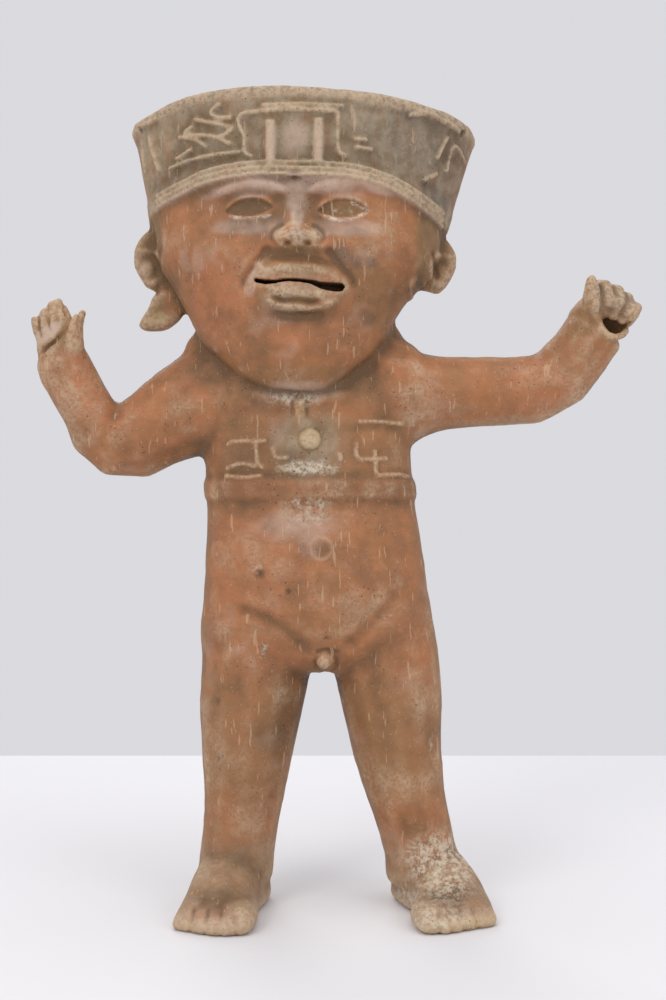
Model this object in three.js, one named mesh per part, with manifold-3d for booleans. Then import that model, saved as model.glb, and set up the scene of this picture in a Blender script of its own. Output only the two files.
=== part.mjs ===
// A standing figure of fired clay with a broad smiling face, a flaring headdress and raised arms.
// Millimetres, +Z up, the face looks along -Y, +X is the side of the closed hand.

import * as THREE from 'three';
import { mergeVertices } from 'three/addons/utils/BufferGeometryUtils.js';
import { LoftGeometry } from 'three/addons/geometries/LoftGeometry.js';
import Module from 'manifold-3d';

const wasm = await Module();
wasm.setup();

// Driving dimensions
const rimHeight = 468;          // top of the headdress at its front
const hairlineHeight = 417.5;     // lower edge of the headdress at its front
const chinHeight = 301;
const beltTop = 250.5;
const beltBottom = 239.2;
const beltProud = 1.8;
const lipProud = 3.4;             // how far the rim and the hairline roll stand out
const fretWidth = 2.2;            // the raised lines on the headdress and the breast band
const fretHeight = 1.5;
const fretRoot = 1.2;             // how deep each raised line is rooted in the wall behind it
const mouthDepth = 16;
const gripDepth = 30;
const plateSides = 15;
const back = new THREE.Vector3(0, 1, 0);

// Curves through stations

// Gives every field of the rows at a place along the field named key, by a smooth cubic.
function profile(rows, key) {
  const slope = (i, field) => {
    const a = rows[Math.max(i - 1, 0)];
    const b = rows[Math.min(i + 1, rows.length - 1)];
    return (b[field] - a[field]) / (b[key] - a[key]);
  };
  return (at) => {
    let i = 0;
    while (i < rows.length - 2 && at > rows[i + 1][key]) i += 1;
    const step = rows[i + 1][key] - rows[i][key];
    const t = THREE.MathUtils.clamp((at - rows[i][key]) / step, 0, 1);
    const fromStart = (1 + 2 * t) * (1 - t) ** 2;
    const startSlope = t * (1 - t) ** 2 * step;
    const endSlope = t * t * (t - 1) * step;
    const made = {};
    for (const field of Object.keys(rows[i])) {
      made[field] = fromStart * rows[i][field] + (1 - fromStart) * rows[i + 1][field]
        + startSlope * slope(i, field) + endSlope * slope(i + 1, field);
    }
    return made;
  };
}

// The sine or cosine of a superellipse: power 2 is a round, more is squarer, less is more pointed.
function squared(value, power) {
  return Math.sign(value) * Math.abs(value) ** (2 / power);
}

// Solids

// The middle of a ring of points.
function middleOf(points) {
  return points.reduce((sum, p) => sum.add(p), new THREE.Vector3()).divideScalar(points.length);
}

// A skin over closed sections, its ends closed by fans to their middles, as a solid.
// The points of a section may run either way round: they are turned so that the skin faces out.
function loft(sections) {
  const halfWay = Math.floor(sections.length / 2);
  const here = middleOf(sections[halfWay]);
  const along = here.clone().sub(middleOf(sections[halfWay - 1]));
  const turning = new THREE.Vector3();
  sections[halfWay].forEach((p, i, points) => {
    const next = points[(i + 1) % points.length];
    turning.add(p.clone().sub(here).cross(next.clone().sub(here)));
  });
  const rings = turning.dot(along) > 0 ? sections : sections.map((points) => points.slice().reverse());
  const pole = (points) => points.map(() => middleOf(points));
  const skin = new LoftGeometry([pole(rings[0]), ...rings, pole(rings[rings.length - 1])]);
  const plain = new THREE.BufferGeometry();
  plain.setAttribute('position', skin.attributes.position);
  plain.setIndex(skin.index);
  const merged = mergeVertices(plain, 1e-4);
  const corners = merged.index.array;
  const triVerts = [];
  for (let i = 0; i < corners.length; i += 3) {
    const [p, q, r] = corners.subarray(i, i + 3);
    if (p !== q && q !== r && r !== p) triVerts.push(p, q, r);
  }
  return new wasm.Manifold(new wasm.Mesh({
    numProp: 3,
    vertProperties: merged.attributes.position.array,
    triVerts: new Uint32Array(triVerts),
  }));
}

// A limb, finger or lobe: rounded sections along a path of stations.
// Each station has its centre x, y, z, its half width across and its half depth deep.
function limb(stations, { rings = 12, sides = 16, dome = 0.8, power = 2 } = {}) {
  const at = profile(stations.map((row, s) => ({ s, ...row })), 's');
  const last = stations.length - 1;
  const point = (s) => new THREE.Vector3(at(s).x, at(s).y, at(s).z);
  const sections = [];
  const ring = (s, scale, ahead) => {
    const row = at(s);
    const along = point(Math.min(s + 0.05, last)).sub(point(Math.max(s - 0.05, 0))).normalize();
    const side = new THREE.Vector3().crossVectors(along, back).normalize();
    const deep = new THREE.Vector3().crossVectors(side, along);
    const centre = point(s).addScaledVector(along, ahead);
    const points = [];
    for (let k = 0; k < sides; k += 1) {
      const angle = (2 * Math.PI * k) / sides;
      points.push(centre.clone()
        .addScaledVector(side, scale * row.across * squared(Math.cos(angle), power))
        .addScaledVector(deep, scale * row.deep * squared(Math.sin(angle), power)));
    }
    sections.push(points);
  };
  const domeAngles = [75, 45];
  for (const degrees of domeAngles) {
    const angle = THREE.MathUtils.degToRad(degrees);
    ring(0, Math.cos(angle), -dome * at(0).across * Math.sin(angle));
  }
  for (let k = 0; k <= rings; k += 1) ring((last * k) / rings, 1, 0);
  for (const degrees of domeAngles.slice().reverse()) {
    const angle = THREE.MathUtils.degToRad(degrees);
    ring(last, Math.cos(angle), dome * at(last).across * Math.sin(angle));
  }
  return loft(sections);
}

// One level ring of the head or the trunk, as a function of the angle from the front.
// wide is the half width, front and behind the depths from y, the level of the widest line.
function wallPoint(row, angle) {
  const facing = Math.cos(angle);
  const depth = facing > 0 ? row.front : row.behind;
  const power = facing > 0 ? row.frontPower : row.backPower;
  return new THREE.Vector2(
    row.x + row.wide * squared(Math.sin(angle), power),
    row.y - depth * squared(facing, power),
  );
}

// The direction that the ring faces at that angle, level with the ground.
function wallNormal(row, angle) {
  const step = 0.02;
  const ahead = wallPoint(row, angle + step);
  const behind = wallPoint(row, angle - step);
  return new THREE.Vector2(ahead.y - behind.y, behind.x - ahead.x).normalize();
}

// The y of the front of a wall at x.
function frontOf(row, x) {
  const share = Math.min(Math.abs(x - row.x) / row.wide, 1);
  return row.y - row.front * (1 - share ** row.frontPower) ** (1 / row.frontPower);
}

// Angles round a wall, close together over the front and wide apart behind.
// crowding above 0 draws those of the front together towards its middle.
function anglesRound(frontSteps, backSteps, frontSpan, crowding = 0) {
  const span = THREE.MathUtils.degToRad(frontSpan);
  const angles = [];
  for (let k = 0; k < frontSteps; k += 1) {
    const u = (2 * k) / frontSteps - 1;
    angles.push(span * u * (1 - crowding + crowding * u * u));
  }
  for (let k = 0; k < backSteps; k += 1) {
    angles.push(span + ((2 * Math.PI - 2 * span) * k) / backSteps);
  }
  return angles;
}

// A raised line on a wall through points [x, z], with sloping sides.
function raisedLine(front, points, width = fretWidth, height = fretHeight) {
  const path = [];
  const stride = 15;
  for (let i = 0; i < points.length - 1; i += 1) {
    const [x0, z0] = points[i];
    const [x1, z1] = points[i + 1];
    const steps = Math.max(1, Math.round(Math.hypot(x1 - x0, z1 - z0) / stride));
    for (let k = i ? 1 : 0; k <= steps; k += 1) {
      path.push([x0 + ((x1 - x0) * k) / steps, z0 + ((z1 - z0) * k) / steps]);
    }
  }
  const place = ([x, z]) => new THREE.Vector3(x, front(x, z), z);
  const step = 1.5;
  const sections = path.map((at, i) => {
    const [x, z] = at;
    const along = place(path[Math.min(i + 1, path.length - 1)])
      .sub(place(path[Math.max(i - 1, 0)])).normalize();
    const outward = new THREE.Vector3().crossVectors(
      place([x + step, z]).sub(place([x - step, z])),
      place([x, z + step]).sub(place([x, z - step])),
    ).normalize();
    if (outward.y > 0) outward.negate();
    const side = new THREE.Vector3().crossVectors(along, outward).normalize();
    const corner = (across, out) => place(at)
      .addScaledVector(side, across).addScaledVector(outward, out);
    return [
      corner(-width * 0.6, -fretRoot), corner(-width * 0.3, height),
      corner(width * 0.3, height), corner(width * 0.6, -fretRoot),
    ];
  });
  return loft(sections);
}

// A plate with a rounded edge, standing to the front, from an outline of points [x, z].
// lean is how far it slopes to the back for each millimetre away from its first point.
function plate(outline, y, thickness, lean = 0) {
  const corners = outline.map(([x, z]) => new THREE.Vector3(x, y + lean * Math.abs(x - outline[0][0]), z));
  const edge = new THREE.CatmullRomCurve3(corners, true).getPoints(plateSides).slice(0, -1);
  const centre = edge.reduce((sum, p) => sum.add(p), new THREE.Vector3()).divideScalar(edge.length);
  const steps = [[0.5, 0.8], [0.15, 1], [-0.5, 0.9]];
  return loft(steps.map(([depth, share]) => edge.map((p) => new THREE.Vector3(
    centre.x + (p.x - centre.x) * share,
    p.y - depth * thickness,
    centre.z + (p.z - centre.z) * share,
  ))));
}

// The head

// Levels of the head from the chin to the rim. sag is how much lower a ring lies at its widest
// line and behind it than at its front, because the hairline and the rim sink at the sides.
const headLevels = [
  { z: 301, x: -21, wide: 14, y: -34, front: 12, behind: 16, sag: 0 },
  { z: 304, x: -22, wide: 22, y: -32, front: 17, behind: 24, sag: 0 },
  { z: 311, x: -23, wide: 32.5, y: -26, front: 26.5, behind: 34, sag: 0 },
  { z: 327, x: -24.3, wide: 51, y: -16, front: 38.5, behind: 44, sag: 0 },
  { z: 343, x: -24.4, wide: 59.6, y: -8, front: 47.5, behind: 48, sag: 1 },
  { z: 358, x: -24.2, wide: 67, y: -2, front: 54, behind: 51, sag: 3 },
  { z: 372, x: -22.6, wide: 76, y: 2, front: 58, behind: 53, sag: 6 },
  { z: 388, x: -21.2, wide: 83.8, y: 5, front: 60, behind: 54, sag: 11 },
  { z: 403, x: -20.8, wide: 86, y: 8, front: 62, behind: 52, sag: 17 },
  { z: 417.5, x: -20.8, wide: 87.4, y: 10, front: 62.5, behind: 50, sag: 21.5 },
  { z: 428, x: -19.4, wide: 91.4, y: 12, front: 64.5, behind: 48, sag: 19 },
  { z: 442, x: -18.2, wide: 96.8, y: 15, front: 68, behind: 46, sag: 14.5 },
  { z: 457, x: -17.4, wide: 101.4, y: 18, front: 71.5, behind: 44, sag: 9.5 },
  { z: 468, x: -18, wide: 101.4, y: 20, front: 73, behind: 42, sag: 6.8 },
];
const headRoll = 0.03;            // the head leans a little to +X: so much lower a millimetre
const lowCorner = { x: -108, reach: 16, from: 446, fall: 4.4 };  // the rim dips at this end
const headRow = profile(headLevels.map((row) => ({
  ...row,
  frontPower: row.z > hairlineHeight ? 1.85 : 2.05,
  backPower: 2.15,
})), 'z');

const bump = (x, z, atX, atZ, sizeX, sizeZ) => (
  Math.exp(-(((x - atX) / sizeX) ** 2) - ((z - atZ) / sizeZ) ** 2)
);
const ramp = THREE.MathUtils.smoothstep;

// The features of the face, as places and sizes on the front of the head.
const faceMiddle = -20.5;
const eyes = [{ x: -47, z: 401, half: 13.4 }, { x: 5.3, z: 400, half: 14.2 }];
const nose = { x: -19.3, top: 406, tip: 381.5, base: 376 };
const mouth = { x: -18.5, z: 358, half: 25.5 };

// How far the face stands out of, or sinks into, the plain wall of the head.
function faceRelief(x, z) {
  let out = 0;
  const down = ramp(nose.top - z, 0, nose.top - nose.tip);
  const cut = ramp(z, nose.base - 2.5, nose.base + 2);
  const ridge = Math.exp(-(((x - nose.x) / (4.5 + 4.5 * down)) ** 2));
  out += 13.5 * down ** 1.3 * cut * ridge;
  for (const side of [-1, 1]) {
    out += 5 * cut * bump(x, z, nose.x + side * 11, nose.tip - 0.5, 5, 5);
    const cheek = faceMiddle + side * 40;
    out += 3.5 * bump(x, z, cheek, 377, 20, 15);
    out -= 1.4 * bump(x, z, faceMiddle + side * 33, 363, 6, 9);
    const brow = faceMiddle + side * 22;
    out += 2 * bump(x, z, brow, 411.5, 17, 3.2);
  }
  for (const eye of eyes) {
    out -= 2.6 * bump(x, z, eye.x, eye.z + 1, 16, 7.5);
    out -= 1.2 * bump(x, z, eye.x, eye.z, 11, 3.6);
  }
  out += 4.2 * bump(x, z, mouth.x, mouth.z + 7, 26, 5.5);
  out += 5 * bump(x, z, mouth.x, mouth.z - 8, 20, 6.5);
  out -= 2.2 * bump(x, z, mouth.x, mouth.z - 19, 22, 5);
  out += 2 * bump(x, z, faceMiddle, 318, 22, 9);
  return out;
}

// The rims of the eyelids and the edges of the lips, raised lines on the face.
function lidsAndLips() {
  const lids = [];
  for (const { x, z, half } of eyes) {
    lids.push([[x - half, z - 0.4], [x - half / 2, z + 4.4], [x + 1, z + 5.4], [x + half / 2, z + 4], [x + half, z - 0.4]]);
    lids.push([[x - half, z - 0.6], [x - half / 2, z - 3.6], [x + half / 2, z - 3.8], [x + half, z - 0.6]]);
  }
  const half = mouth.half;
  const upperLip = [[-half + 2, 5.6], [-half / 2, 7.2], [-1, 6.6], [half / 2, 6.6], [half - 2, 4.6]];
  const lowerLip = [[-half + 5, -7.6], [-half / 2, -11], [0, -12.4], [half / 2, -11], [half - 5, -7.6]];
  const onMouth = ([x, z]) => [mouth.x + x, mouth.z + z];
  return [
    ...lids.map((line) => raisedLine(faceFront, line, 2.4, 1.3)),
    raisedLine(faceFront, upperLip.map(onMouth), 6.5, 1.6),
    raisedLine(faceFront, lowerLip.map(onMouth), 7, 1.8),
  ];
}

// Heights and stand-out of the headdress wall, from the hairline to the rim.
const headColumns = 24;
const faceHeights = [
  chinHeight, 304.5, 310, 317, 325, 333, 341, 347, 353, 361, 366, 371, 376, 379, 385, 392,
  399, 406, 412.5, hairlineHeight,
];
const panelMiddle = -21;
const panelHalf = 23.5;
const headdressSteps = [
  [0, 0.2], [0.02, lipProud - 0.3], [0.092, lipProud - 0.4], [0.112, 0.8],
  [0.128, 2.3], [0.192, 2.3], [0.208, 0.4], [0.84, 0.4],
  [0.875, lipProud - 0.3], [0.95, lipProud + 0.3], [1, lipProud - 1.4],
];

// How much lower the head is at a point of a ring than at the ring's front.
function sinking(row, x, y) {
  const share = THREE.MathUtils.clamp((y - row.y + row.front) / row.front, 0, 1);
  const corner = Math.exp(-(((x - lowCorner.x) / lowCorner.reach) ** 2))
    * ramp(row.z, lowCorner.from, rimHeight);
  return row.sag * share + headRoll * (x - row.x) + lowCorner.fall * corner;
}

function ringOfHead(z, angles, out) {
  const row = headRow(z);
  return angles.map((angle) => {
    const flat = wallPoint(row, angle);
    const facing = ramp(Math.cos(angle), -0.35, 0.35);
    flat.addScaledVector(wallNormal(row, angle), out(flat.x, z) * facing);
    return new THREE.Vector3(flat.x, flat.y, z - sinking(row, flat.x, flat.y));
  });
}

function head() {
  const angles = anglesRound(headColumns, 8, 84, 0.3);
  const sections = faceHeights.map((z) => {
    const fade = ramp(hairlineHeight - z, 0, 4);
    return ringOfHead(z, angles, (x) => faceRelief(x, z) * fade);
  });
  for (const [share, out] of headdressSteps.slice(1)) {
    const z = hairlineHeight + (rimHeight - hairlineHeight) * share;
    const strip = share > 0.12 && share < 0.2;
    const onPanel = (x) => Math.abs(x - panelMiddle) < panelHalf;
    sections.push(ringOfHead(z, angles, (x) => (strip && onPanel(x) ? 1 : out)));
  }
  // The top is dished behind the rim.
  const rim = sections[sections.length - 1];
  const dish = [[0.94, 0.2], [0.91, -5], [0.5, -9]];
  const middle = new THREE.Vector3(-19, 14, 0);
  for (const [share, fall] of dish) {
    sections.push(rim.map((p) => new THREE.Vector3(
      middle.x + (p.x - middle.x) * share,
      middle.y + (p.y - middle.y) * share,
      p.z + fall,
    )));
  }
  return loft(sections);
}

// The y of the front of the head at a point seen from the front.
function headFront(x, z) {
  let level = z;
  let y = 0;
  for (let turn = 0; turn < 12; turn += 1) {
    const row = headRow(level);
    y = frontOf(row, x);
    level = (level + z + sinking(row, x, y)) / 2;
  }
  return y;
}

const faceFront = (x, z) => headFront(x, z) - faceRelief(x, z);

// The slit between the lips, a thin curved blade cut deep into the head.
function mouthSlit() {
  const sections = [];
  const steps = 8;
  for (let k = 0; k <= steps; k += 1) {
    const u = (2 * k) / steps - 1;
    const x = mouth.x + u * mouth.half;
    const z = mouth.z + 1.5 * u * u - 1.2 * u;
    const half = 1.9 * Math.sqrt(1.02 - u * u) * (1 + 0.25 * u);
    const front = headFront(x, z) - 12;
    const rear = headFront(x, z) + mouthDepth * Math.sqrt(1.05 - u * u);
    sections.push([
      new THREE.Vector3(x, front, z - half), new THREE.Vector3(x, front, z + half),
      new THREE.Vector3(x, rear, z + half), new THREE.Vector3(x, rear, z - half),
    ]);
  }
  return loft(sections);
}

// Raised lines of the headdress: a stepped frame with two bars in the middle, zigzags and hooks
// to the left, short bars and angles to the right.
function headdressFret() {
  const lines = [
    [[-44, 428.5], [-49, 431], [-49, 441], [-51.6, 445.4], [-51.6, 452.5], [-39.4, 454.4],
      [2.8, 453.9], [2.8, 433.6], [8, 430]],
    [[-78.5, 453.6], [-55.6, 446.2], [-66.9, 441.6]],
    [[-78.6, 450.1], [-84, 446.5], [-67.5, 442.7], [-56.6, 437.1]],
    [[-87.8, 445.2], [-71, 437.8]],
    [[-89.5, 433.4], [-79.6, 437.3]],
    [[-62.7, 459], [-68.4, 456.4], [-64.8, 452.7], [-56.3, 452]],
    [[-106.3, 451], [-100, 428.4]],
    [[-112.5, 447], [-108.5, 428]],
    [[66, 448.7], [59.3, 435]],
    [[65.1, 428.7], [69.9, 444.6], [76.5, 437]],
    [[11.4, 439.6], [19.4, 439.7]],
    [[11.9, 435.3], [22.1, 434.8]],
    [[50, 424], [57, 429]],
  ];
  const bars = [
    [[-34.6, 449.2], [-34.6, 423]],
    [[-8.1, 450.4], [-8.1, 424]],
  ];
  const barWidth = 6.2;
  return [
    ...lines.map((line) => raisedLine(headFront, line)),
    ...bars.map((line) => raisedLine(headFront, line, barWidth, 1.2)),
  ];
}

function ears() {
  const leftEar = [
    [-100, 401], [-110, 400], [-115, 395.6], [-118.6, 389.6], [-119.3, 384], [-118.6, 377],
    [-114.9, 370.4], [-108.6, 362.5], [-96, 366],
  ];
  const leftLobe = [
    [-92, 366], [-106, 362], [-109, 354.6], [-111.4, 348.7], [-115.4, 342.6], [-113.6, 338.8],
    [-107, 338], [-99.2, 338.6], [-92.4, 343], [-87, 350],
  ];
  const rightEar = [
    [52, 399], [62.5, 399], [68.6, 393.8], [72.2, 389.4], [74.3, 384.4], [74, 378], [72, 372],
    [67.2, 365.5], [62.5, 360.6], [57.5, 362.4], [46, 366],
  ];
  return [plate(leftEar, 6, 13, 0.12), plate(leftLobe, 3, 10, 0), plate(rightEar, 6, 13, 0.12)];
}

// The trunk

const trunkLevels = [
  { z: 138.4, x: -6, wide: 38, y: 2, front: 22, behind: 24 },
  { z: 144, x: -7.3, wide: 64, y: 1, front: 30, behind: 35 },
  { z: 153, x: -8.3, wide: 70.4, y: 0, front: 36, behind: 42 },
  { z: 173, x: -10, wide: 67.4, y: 0, front: 42, behind: 46 },
  { z: 197, x: -10.6, wide: 65.6, y: 0, front: 44, behind: 44 },
  { z: 221, x: -12, wide: 63.2, y: 0, front: 41, behind: 39 },
  { z: 238, x: -13.2, wide: 61.6, y: 0, front: 38, behind: 37 },
  { z: 256, x: -14.6, wide: 61.4, y: 0, front: 37, behind: 38 },
  { z: 280, x: -16, wide: 62, y: 0, front: 37, behind: 40 },
  { z: 305, x: -18, wide: 64, y: 1, front: 34, behind: 38 },
  { z: 325, x: -22.3, wide: 67, y: 3, front: 28, behind: 33 },
  { z: 333, x: -22, wide: 65.4, y: 4, front: 25, behind: 30 },
  { z: 340, x: -20.5, wide: 60.5, y: 5, front: 22, behind: 27 },
  { z: 350, x: -21, wide: 46, y: 6, front: 16, behind: 22 },
];
const trunkRow = profile(trunkLevels.map((row) => ({
  ...row, frontPower: 2.3, backPower: 2.4,
})), 'z');
const trunkFront = (x, z) => frontOf(trunkRow(z), x);

function trunk() {
  const angles = anglesRound(12, 8, 90);
  const heights = [
    138.4, 143, 150, 162, 180, 200, 222,
    beltBottom - 0.6, beltBottom + 0.6, beltTop - 0.6, beltTop + 0.6,
    272, 296, 312, 325, 333, 341, 350,
  ];
  const sections = heights.map((z) => {
    const row = trunkRow(z);
    const out = z > beltBottom && z < beltTop ? beltProud : 0;
    return angles.map((angle) => {
      const flat = wallPoint(row, angle).addScaledVector(wallNormal(row, angle), out);
      return new THREE.Vector3(flat.x, flat.y, z);
    });
  });
  return loft(sections);
}

// The breast band, the strap and its round pendant, all low relief.
function breastBand() {
  const lines = [
    [[-72, 283], [-50, 285], [-26, 284.5], [-2, 284.5], [22, 285], [42, 283]],
    [[-68, 270], [-44, 270], [-44, 258], [-60, 258]],
    [[-66, 275.5], [-38, 275.5], [-38, 255]],
    [[-30, 278], [-30, 256], [-20, 256]],
    [[36, 270], [14, 270], [14, 258], [30, 258]],
    [[36, 275.5], [8, 275.5], [8, 255]],
    [[0, 278], [0, 256], [-9, 256]],
    [[-22.5, 300], [-22.5, 284]],
    [[-9, 300], [-9, 284]],
  ];
  const made = lines.map((line) => raisedLine(trunkFront, line, 2.4, 1.2));
  const pendant = { x: -12, z: 272.5, radius: 6.8 };
  made.push(limb([
    { x: pendant.x, y: -34, z: pendant.z - 2, across: pendant.radius, deep: 5.2 },
    { x: pendant.x, y: -34, z: pendant.z + 2, across: pendant.radius, deep: 5.2 },
  ], { rings: 1, sides: 9, dome: 0.75 }));
  return made;
}

// The legs and feet

const leftLeg = [
  { x: -40, y: 1, z: 178, across: 33, deep: 34 },
  { x: -46.8, y: 1, z: 132, across: 32.6, deep: 34 },
  { x: -50.4, y: 1, z: 97, across: 28.2, deep: 30 },
  { x: -53, y: 1, z: 61, across: 23.5, deep: 25 },
  { x: -56.2, y: 2, z: 37.5, across: 22.3, deep: 22.5 },
  { x: -57.8, y: 3, z: 16, across: 22.6, deep: 22 },
];
const rightLeg = [
  { x: 25, y: 1, z: 178, across: 32.4, deep: 34 },
  { x: 33.2, y: 1, z: 132, across: 31.6, deep: 34 },
  { x: 37.4, y: 1, z: 97, across: 27.4, deep: 30 },
  { x: 44, y: 1, z: 61, across: 23, deep: 25 },
  { x: 50.8, y: 2, z: 37.5, across: 21.6, deep: 22.5 },
  { x: 53, y: 3, z: 16, across: 22.4, deep: 22 },
];

// A foot with a flat sole. It starts at the heel and points along turn degrees from the front.
// Each row is a distance from the heel, the reach of each side and the height of the instep.
function foot(heel, turn, rows) {
  const angle = THREE.MathUtils.degToRad(turn);
  const ahead = new THREE.Vector3(Math.sin(angle), -Math.cos(angle), 0);
  const right = new THREE.Vector3(Math.cos(angle), Math.sin(angle), 0);
  const row = profile(rows, 'along');
  const length = rows[rows.length - 1].along;
  const sections = [];
  const steps = 10;
  for (let k = 0; k <= steps; k += 1) {
    const s = row((length * k) / steps);
    const across = (u) => heel.clone().addScaledVector(ahead, s.along)
      .addScaledVector(right, u < 0 ? u * s.left : u * s.right);
    const points = [];
    const arch = 6;
    for (let j = 0; j <= arch; j += 1) {
      const a = (Math.PI * j) / arch;
      points.push(across(squared(Math.cos(a), 2.3)).setZ(2 + (s.high - 2) * squared(Math.sin(a), 2.1)));
    }
    for (const u of [-0.88, 0, 0.88]) points.push(across(u).setZ(0));
    sections.push(points);
  }
  return loft(sections);
}

// Toes side by side, each a small rounded stub lying on the ground.
function toes(list) {
  return list.map(({ x, y, turn, radius, length }) => {
    const angle = THREE.MathUtils.degToRad(turn);
    const place = (run) => ({
      x: x - Math.sin(angle) * run, y: y + Math.cos(angle) * run, z: radius * 0.78,
    });
    const sections = [];
    for (const [run, scale] of [[0, 0.45], [radius * 0.4, 0.85], [length, 1]]) {
      const at = place(run);
      const points = [];
      const sides = 7;
      for (let k = 0; k < sides; k += 1) {
        const a = (2 * Math.PI * (k + 0.5)) / sides;
        const u = radius * scale * Math.cos(a);
        points.push(new THREE.Vector3(
          at.x + u * Math.cos(angle),
          at.y + u * Math.sin(angle),
          Math.max(0, at.z * (0.75 + 0.25 * scale) + radius * scale * Math.sin(a)),
        ));
      }
      sections.push(points);
    }
    return loft(sections);
  });
}

function feet() {
  const left = foot(new THREE.Vector3(-56, 27, 0), -8, [
    { along: 0, left: 11, right: 11, high: 16 },
    { along: 6, left: 20, right: 20, high: 26 },
    { along: 26, left: 23, right: 23, high: 36 },
    { along: 45, left: 23, right: 21, high: 34 },
    { along: 62, left: 23.5, right: 22, high: 22 },
    { along: 76, left: 24, right: 23, high: 14 },
    { along: 84, left: 24, right: 21, high: 10 },
  ]);
  const right = foot(new THREE.Vector3(50, 27, 0), 20, [
    { along: 0, left: 11, right: 11, high: 16 },
    { along: 6, left: 20, right: 20, high: 26 },
    { along: 26, left: 23, right: 23, high: 36 },
    { along: 45, left: 22, right: 23.6, high: 33 },
    { along: 62, left: 22, right: 22, high: 21 },
    { along: 76, left: 20.5, right: 18, high: 14 },
    { along: 83, left: 17, right: 16, high: 10 },
  ]);
  const leftToes = toes([
    { x: -51, y: -65, turn: -6, radius: 8.4, length: 20 },
    { x: -62, y: -66, turn: -8, radius: 5.2, length: 16 },
    { x: -70.5, y: -63.5, turn: -9, radius: 5.1, length: 16 },
    { x: -78.5, y: -59, turn: -10, radius: 4.8, length: 16 },
    { x: -84, y: -52, turn: -12, radius: 4.5, length: 16 },
  ]);
  const rightToes = toes([
    { x: 54, y: -63, turn: 12, radius: 8, length: 20 },
    { x: 64, y: -62, turn: 20, radius: 5, length: 16 },
    { x: 71, y: -56.5, turn: 24, radius: 4.8, length: 16 },
    { x: 77, y: -46.5, turn: 32, radius: 4.7, length: 16 },
    { x: 82.5, y: -31, turn: 42, radius: 4.8, length: 18 },
  ]);
  return [left, right, ...leftToes, ...rightToes];
}

// The arms and hands

const openArm = [
  { x: -62, y: 2, z: 297.5, across: 42, deep: 30 },
  { x: -82, y: 1, z: 294, across: 32, deep: 26 },
  { x: -103, y: 0, z: 282.6, across: 25.4, deep: 23 },
  { x: -121.5, y: -1, z: 272.6, across: 23.6, deep: 20.5 },
  { x: -136, y: -3, z: 276.6, across: 19, deep: 18.5 },
  { x: -144.4, y: -6, z: 292.8, across: 15.8, deep: 17 },
  { x: -153.6, y: -9, z: 309, across: 16.8, deep: 14.5 },
  { x: -158.6, y: -13, z: 323, across: 15.6, deep: 10.5 },
];

// The raised hand, its palm to the front, four fingers side by side and the thumb apart.
function openHand() {
  const palm = limb([
    { x: -157.2, y: -12.5, z: 318, across: 14.6, deep: 10 },
    { x: -159.5, y: -14, z: 328, across: 13.6, deep: 8 },
    { x: -161.6, y: -15, z: 337, across: 12.4, deep: 6 },
    { x: -162.8, y: -15.5, z: 343.5, across: 11.2, deep: 4.6 },
  ], { rings: 4, sides: 10, dome: 0.3 });
  const fingers = [
    [[-171.6, -15, 335], [-174.2, -16.5, 344.4], 2.9],
    [[-167.2, -15.5, 336], [-168.6, -17, 348.6], 2.8],
    [[-162.4, -15.5, 337], [-164.2, -16.5, 352.4], 2.8],
    [[-157.6, -15, 337], [-160.2, -15, 354.2], 3.2],
  ].map(([root, tip, radius]) => limb([
    { x: root[0], y: root[1], z: root[2], across: radius, deep: radius * 1.25 },
    { x: tip[0], y: tip[1], z: tip[2], across: radius * 0.85, deep: radius },
  ], { rings: 1, sides: 7 }));
  const thumb = limb([
    { x: -151.5, y: -17, z: 326, across: 6.4, deep: 6.5 },
    { x: -149.4, y: -20, z: 337, across: 4.6, deep: 5 },
    { x: -145.6, y: -23, z: 348, across: 2.5, deep: 2.8 },
  ], { rings: 3, sides: 8 });
  return [palm, ...fingers, thumb];
}

const closedArm = [
  { x: 28, y: 2, z: 300, across: 43, deep: 30 },
  { x: 41, y: 1, z: 301, across: 35.5, deep: 29 },
  { x: 50.5, y: 1, z: 301, across: 27, deep: 27 },
  { x: 62, y: 1, z: 301.8, across: 22.6, deep: 25 },
  { x: 87, y: 0, z: 302.8, across: 21, deep: 21.5 },
  { x: 110, y: -1, z: 303.7, across: 20.6, deep: 20 },
  { x: 127, y: -3, z: 306.4, across: 20.2, deep: 19.5 },
  { x: 142.4, y: -6, z: 321.8, across: 18.6, deep: 18.5 },
  { x: 153.8, y: -9, z: 338.4, across: 18, deep: 18 },
];

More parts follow.
